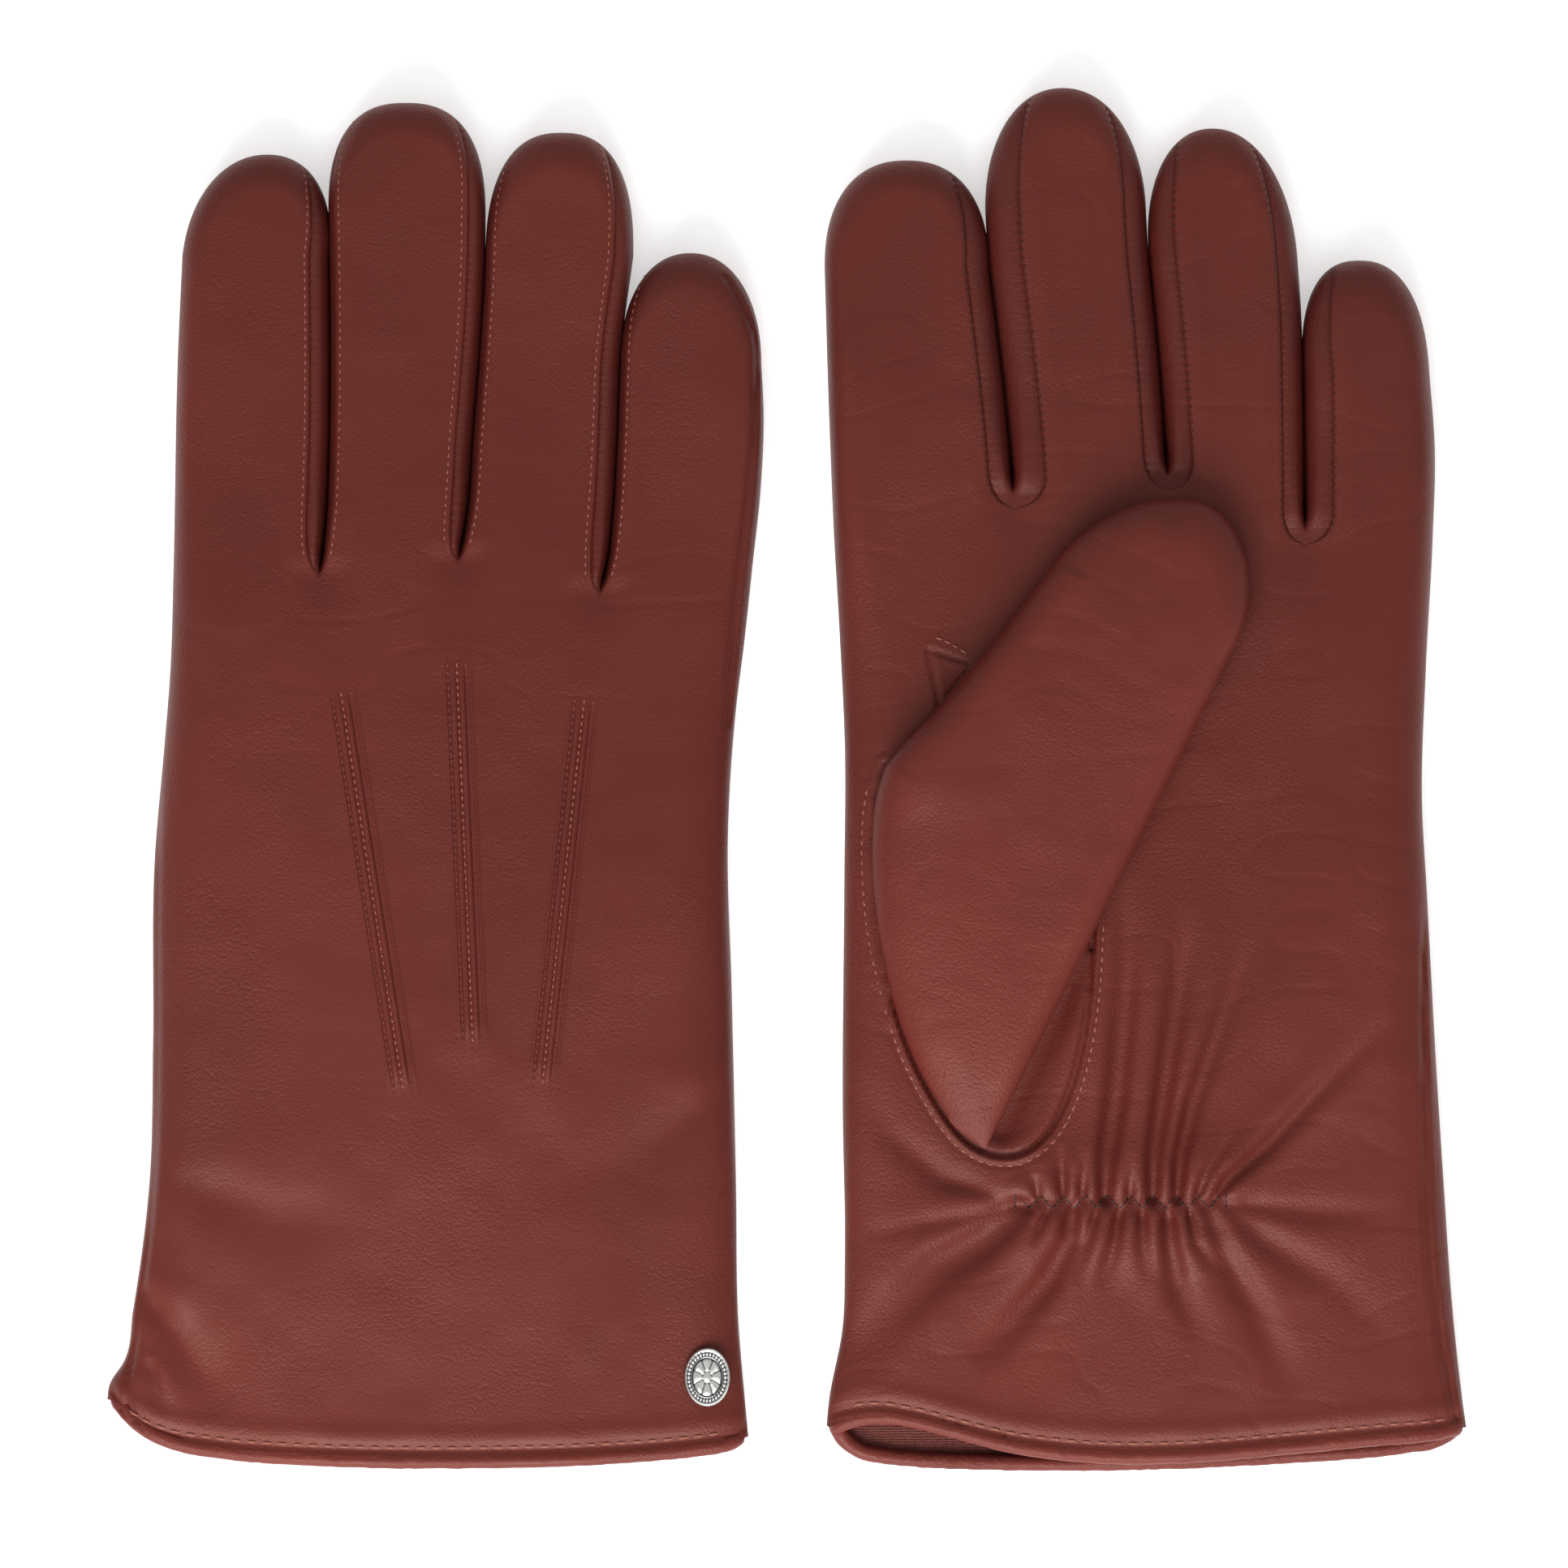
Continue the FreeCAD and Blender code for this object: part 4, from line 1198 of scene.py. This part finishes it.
def build_elastic_thread(glove):
    """The zigzag over the elastic, with a bar at each end."""
    count = 2 * int((GATHER_X[1] - GATHER_X[0]) / GATHER_PITCH)
    corners = [(GATHER_X[0] + k * GATHER_PITCH / 2, GATHER_Y + 1.3 * (-1) ** k) for k in range(count + 1)]
    bars = [((x, GATHER_Y - 1.5), (x, GATHER_Y + 1.5)) for x in (GATHER_X[0] - 0.6, GATHER_X[1] + 0.3)]
    threads = [*zip(corners, corners[1:]), *bars]
    lines = [sewn(glove, np.linspace(start, end, 12), 1.1, 0) for start, end in threads]
    attach(stitches_object(f"{glove.side}_elastic_thread", lines, DARK_THREAD, 1.2, 0.4), glove)


def build_elastic(glove):
    """The ribbed band sewn under the palm of the wrist."""
    face = "upper" if glove.palm_up else "lower"
    inward = -1 if glove.palm_up else 1
    middle = glove.centre - 2.0
    x = np.linspace(middle - 20, middle + 20, 161)[None, :] * np.ones((13, 1))
    y = GATHER_Y + np.linspace(-3, 3, 13)[:, None] * np.ones((1, 161))
    points, _ = glove.surface(x, y, face)
    points[..., 2] += inward * (1.15 + 0.12 * np.cos(2 * np.pi * y / 1.0))
    band = grids_object(f"{glove.side}_elastic_band", [(points, not glove.palm_up)], KNIT)
    attach(band, glove, "wrist_elastic")


def build_badge(glove):
    """A small oval rosette with a beaded rim."""
    half_x, half_y = 4.3, 5.5
    r = np.concatenate([np.linspace(0, 1, 70), [1.0, 0.98]])
    angle = np.linspace(0, 2 * np.pi, 193)
    rr, aa = np.meshgrid(r, angle, indexing="ij")
    petals = np.abs(np.cos(4 * aa))
    height = 0.5 + 0.42 * bell(rr - 0.93, 0.045) + 0.12 * bell(rr - 0.69, 0.02)
    beads = 0.5 + 0.5 * np.cos(36 * aa)
    height += 0.30 * beads ** 0.7 * bell(rr - 0.79, 0.05)
    height += 0.45 * petals ** 0.6 * smooth((0.66 - rr) / 0.14) * smooth((rr - 0.16) / 0.12)
    height += 0.50 * quarter((0.19 - rr) / 0.19)
    height[-2] = 0.5
    height[-1] = -0.15
    x, y = rr * half_x * np.cos(aa), rr * half_y * np.sin(aa)
    flip = -1 if glove.palm_up else 1
    bx, by, bz = glove.badge
    points = np.stack([bx + x, by + y, bz + flip * height], axis=-1)
    badge = grids_object(f"{glove.side}_badge_silver", [(points, not glove.palm_up)], SILVER)
    attribute = badge.data.attributes.new("height", "FLOAT", "POINT")
    attribute.data.foreach_set("value", np.clip((height - 0.4) / 0.5, 0, 1).astype(np.float32).ravel())
    attach(badge, glove, "badge")
    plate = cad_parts[f"{glove.side}_badge_backplate"]
    plate.data.materials.clear()
    plate.data.materials.append(SILVER)


# ---- camera, light and floor ----------------------------------------------------------------

def build_light():
    """One large lamp low behind the cuffs."""
    data = bpy.data.lights.new("soft_box", "AREA")
    data.shape = "RECTANGLE"
    data.size, data.size_y, data.energy = 0.9, 0.5, 13.5
    light = bpy.data.objects.new("soft_box", data)
    light.location = (-0.15, -0.78, 0.56)
    light.rotation_euler = (-light.location).to_track_quat("-Z", "Y").to_euler()
    bpy.context.scene.collection.objects.link(light)


def build_stage():
    scene = bpy.context.scene
    world = bpy.data.worlds.new("world")
    scene.world = world
    world.use_nodes = True
    sky = world.node_tree.nodes["Background"].inputs
    sky["Color"].default_value = (1, 1, 1, 1)
    sky["Strength"].default_value = 0.62
    scene.view_settings.view_transform = "Standard"
    build_light()
    mesh = bpy.data.meshes.new("floor")
    mesh.from_pydata([(-2, -2, 0), (2, -2, 0), (2, 2, 0), (-2, 2, 0)], [], [(0, 1, 2, 3)])
    n = Nodes("paper")
    grain = n.add("ShaderNodeTexNoise", Scale=60.0, Detail=2.0)
    n.shade(Base_Color=n.ramp(grain.outputs["Fac"], (0.3, grey(0.96)), (0.7, grey(0.98))), Roughness=0.9,
            Emission_Color=(1, 1, 1, 1), Emission_Strength=0.42)
    mesh.materials.append(n.material)
    floor = bpy.data.objects.new("floor", mesh)
    scene.collection.objects.link(floor)
    floor.location.z = -0.0002
    camera_data = bpy.data.cameras.new("camera")
    camera_data.lens = 200.0
    camera_data.sensor_width = 36.0
    camera = bpy.data.objects.new("camera", camera_data)
    camera.location = (-0.001, -0.001, 0.01 + 0.2937 * 200 / 36)
    scene.collection.objects.link(camera)
    scene.camera = camera


def main():
    build_stage()
    for glove in (RIGHT, LEFT):
        upper, lower = build_hand_and_fingers(glove)
        build_cuff(glove, upper, lower)
        build_points(glove)
        build_thumb(glove)
        build_gusset(glove)
        build_palm_thread(glove)
        build_elastic_thread(glove)
        build_elastic(glove)
        build_badge(glove)
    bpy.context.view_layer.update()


main()
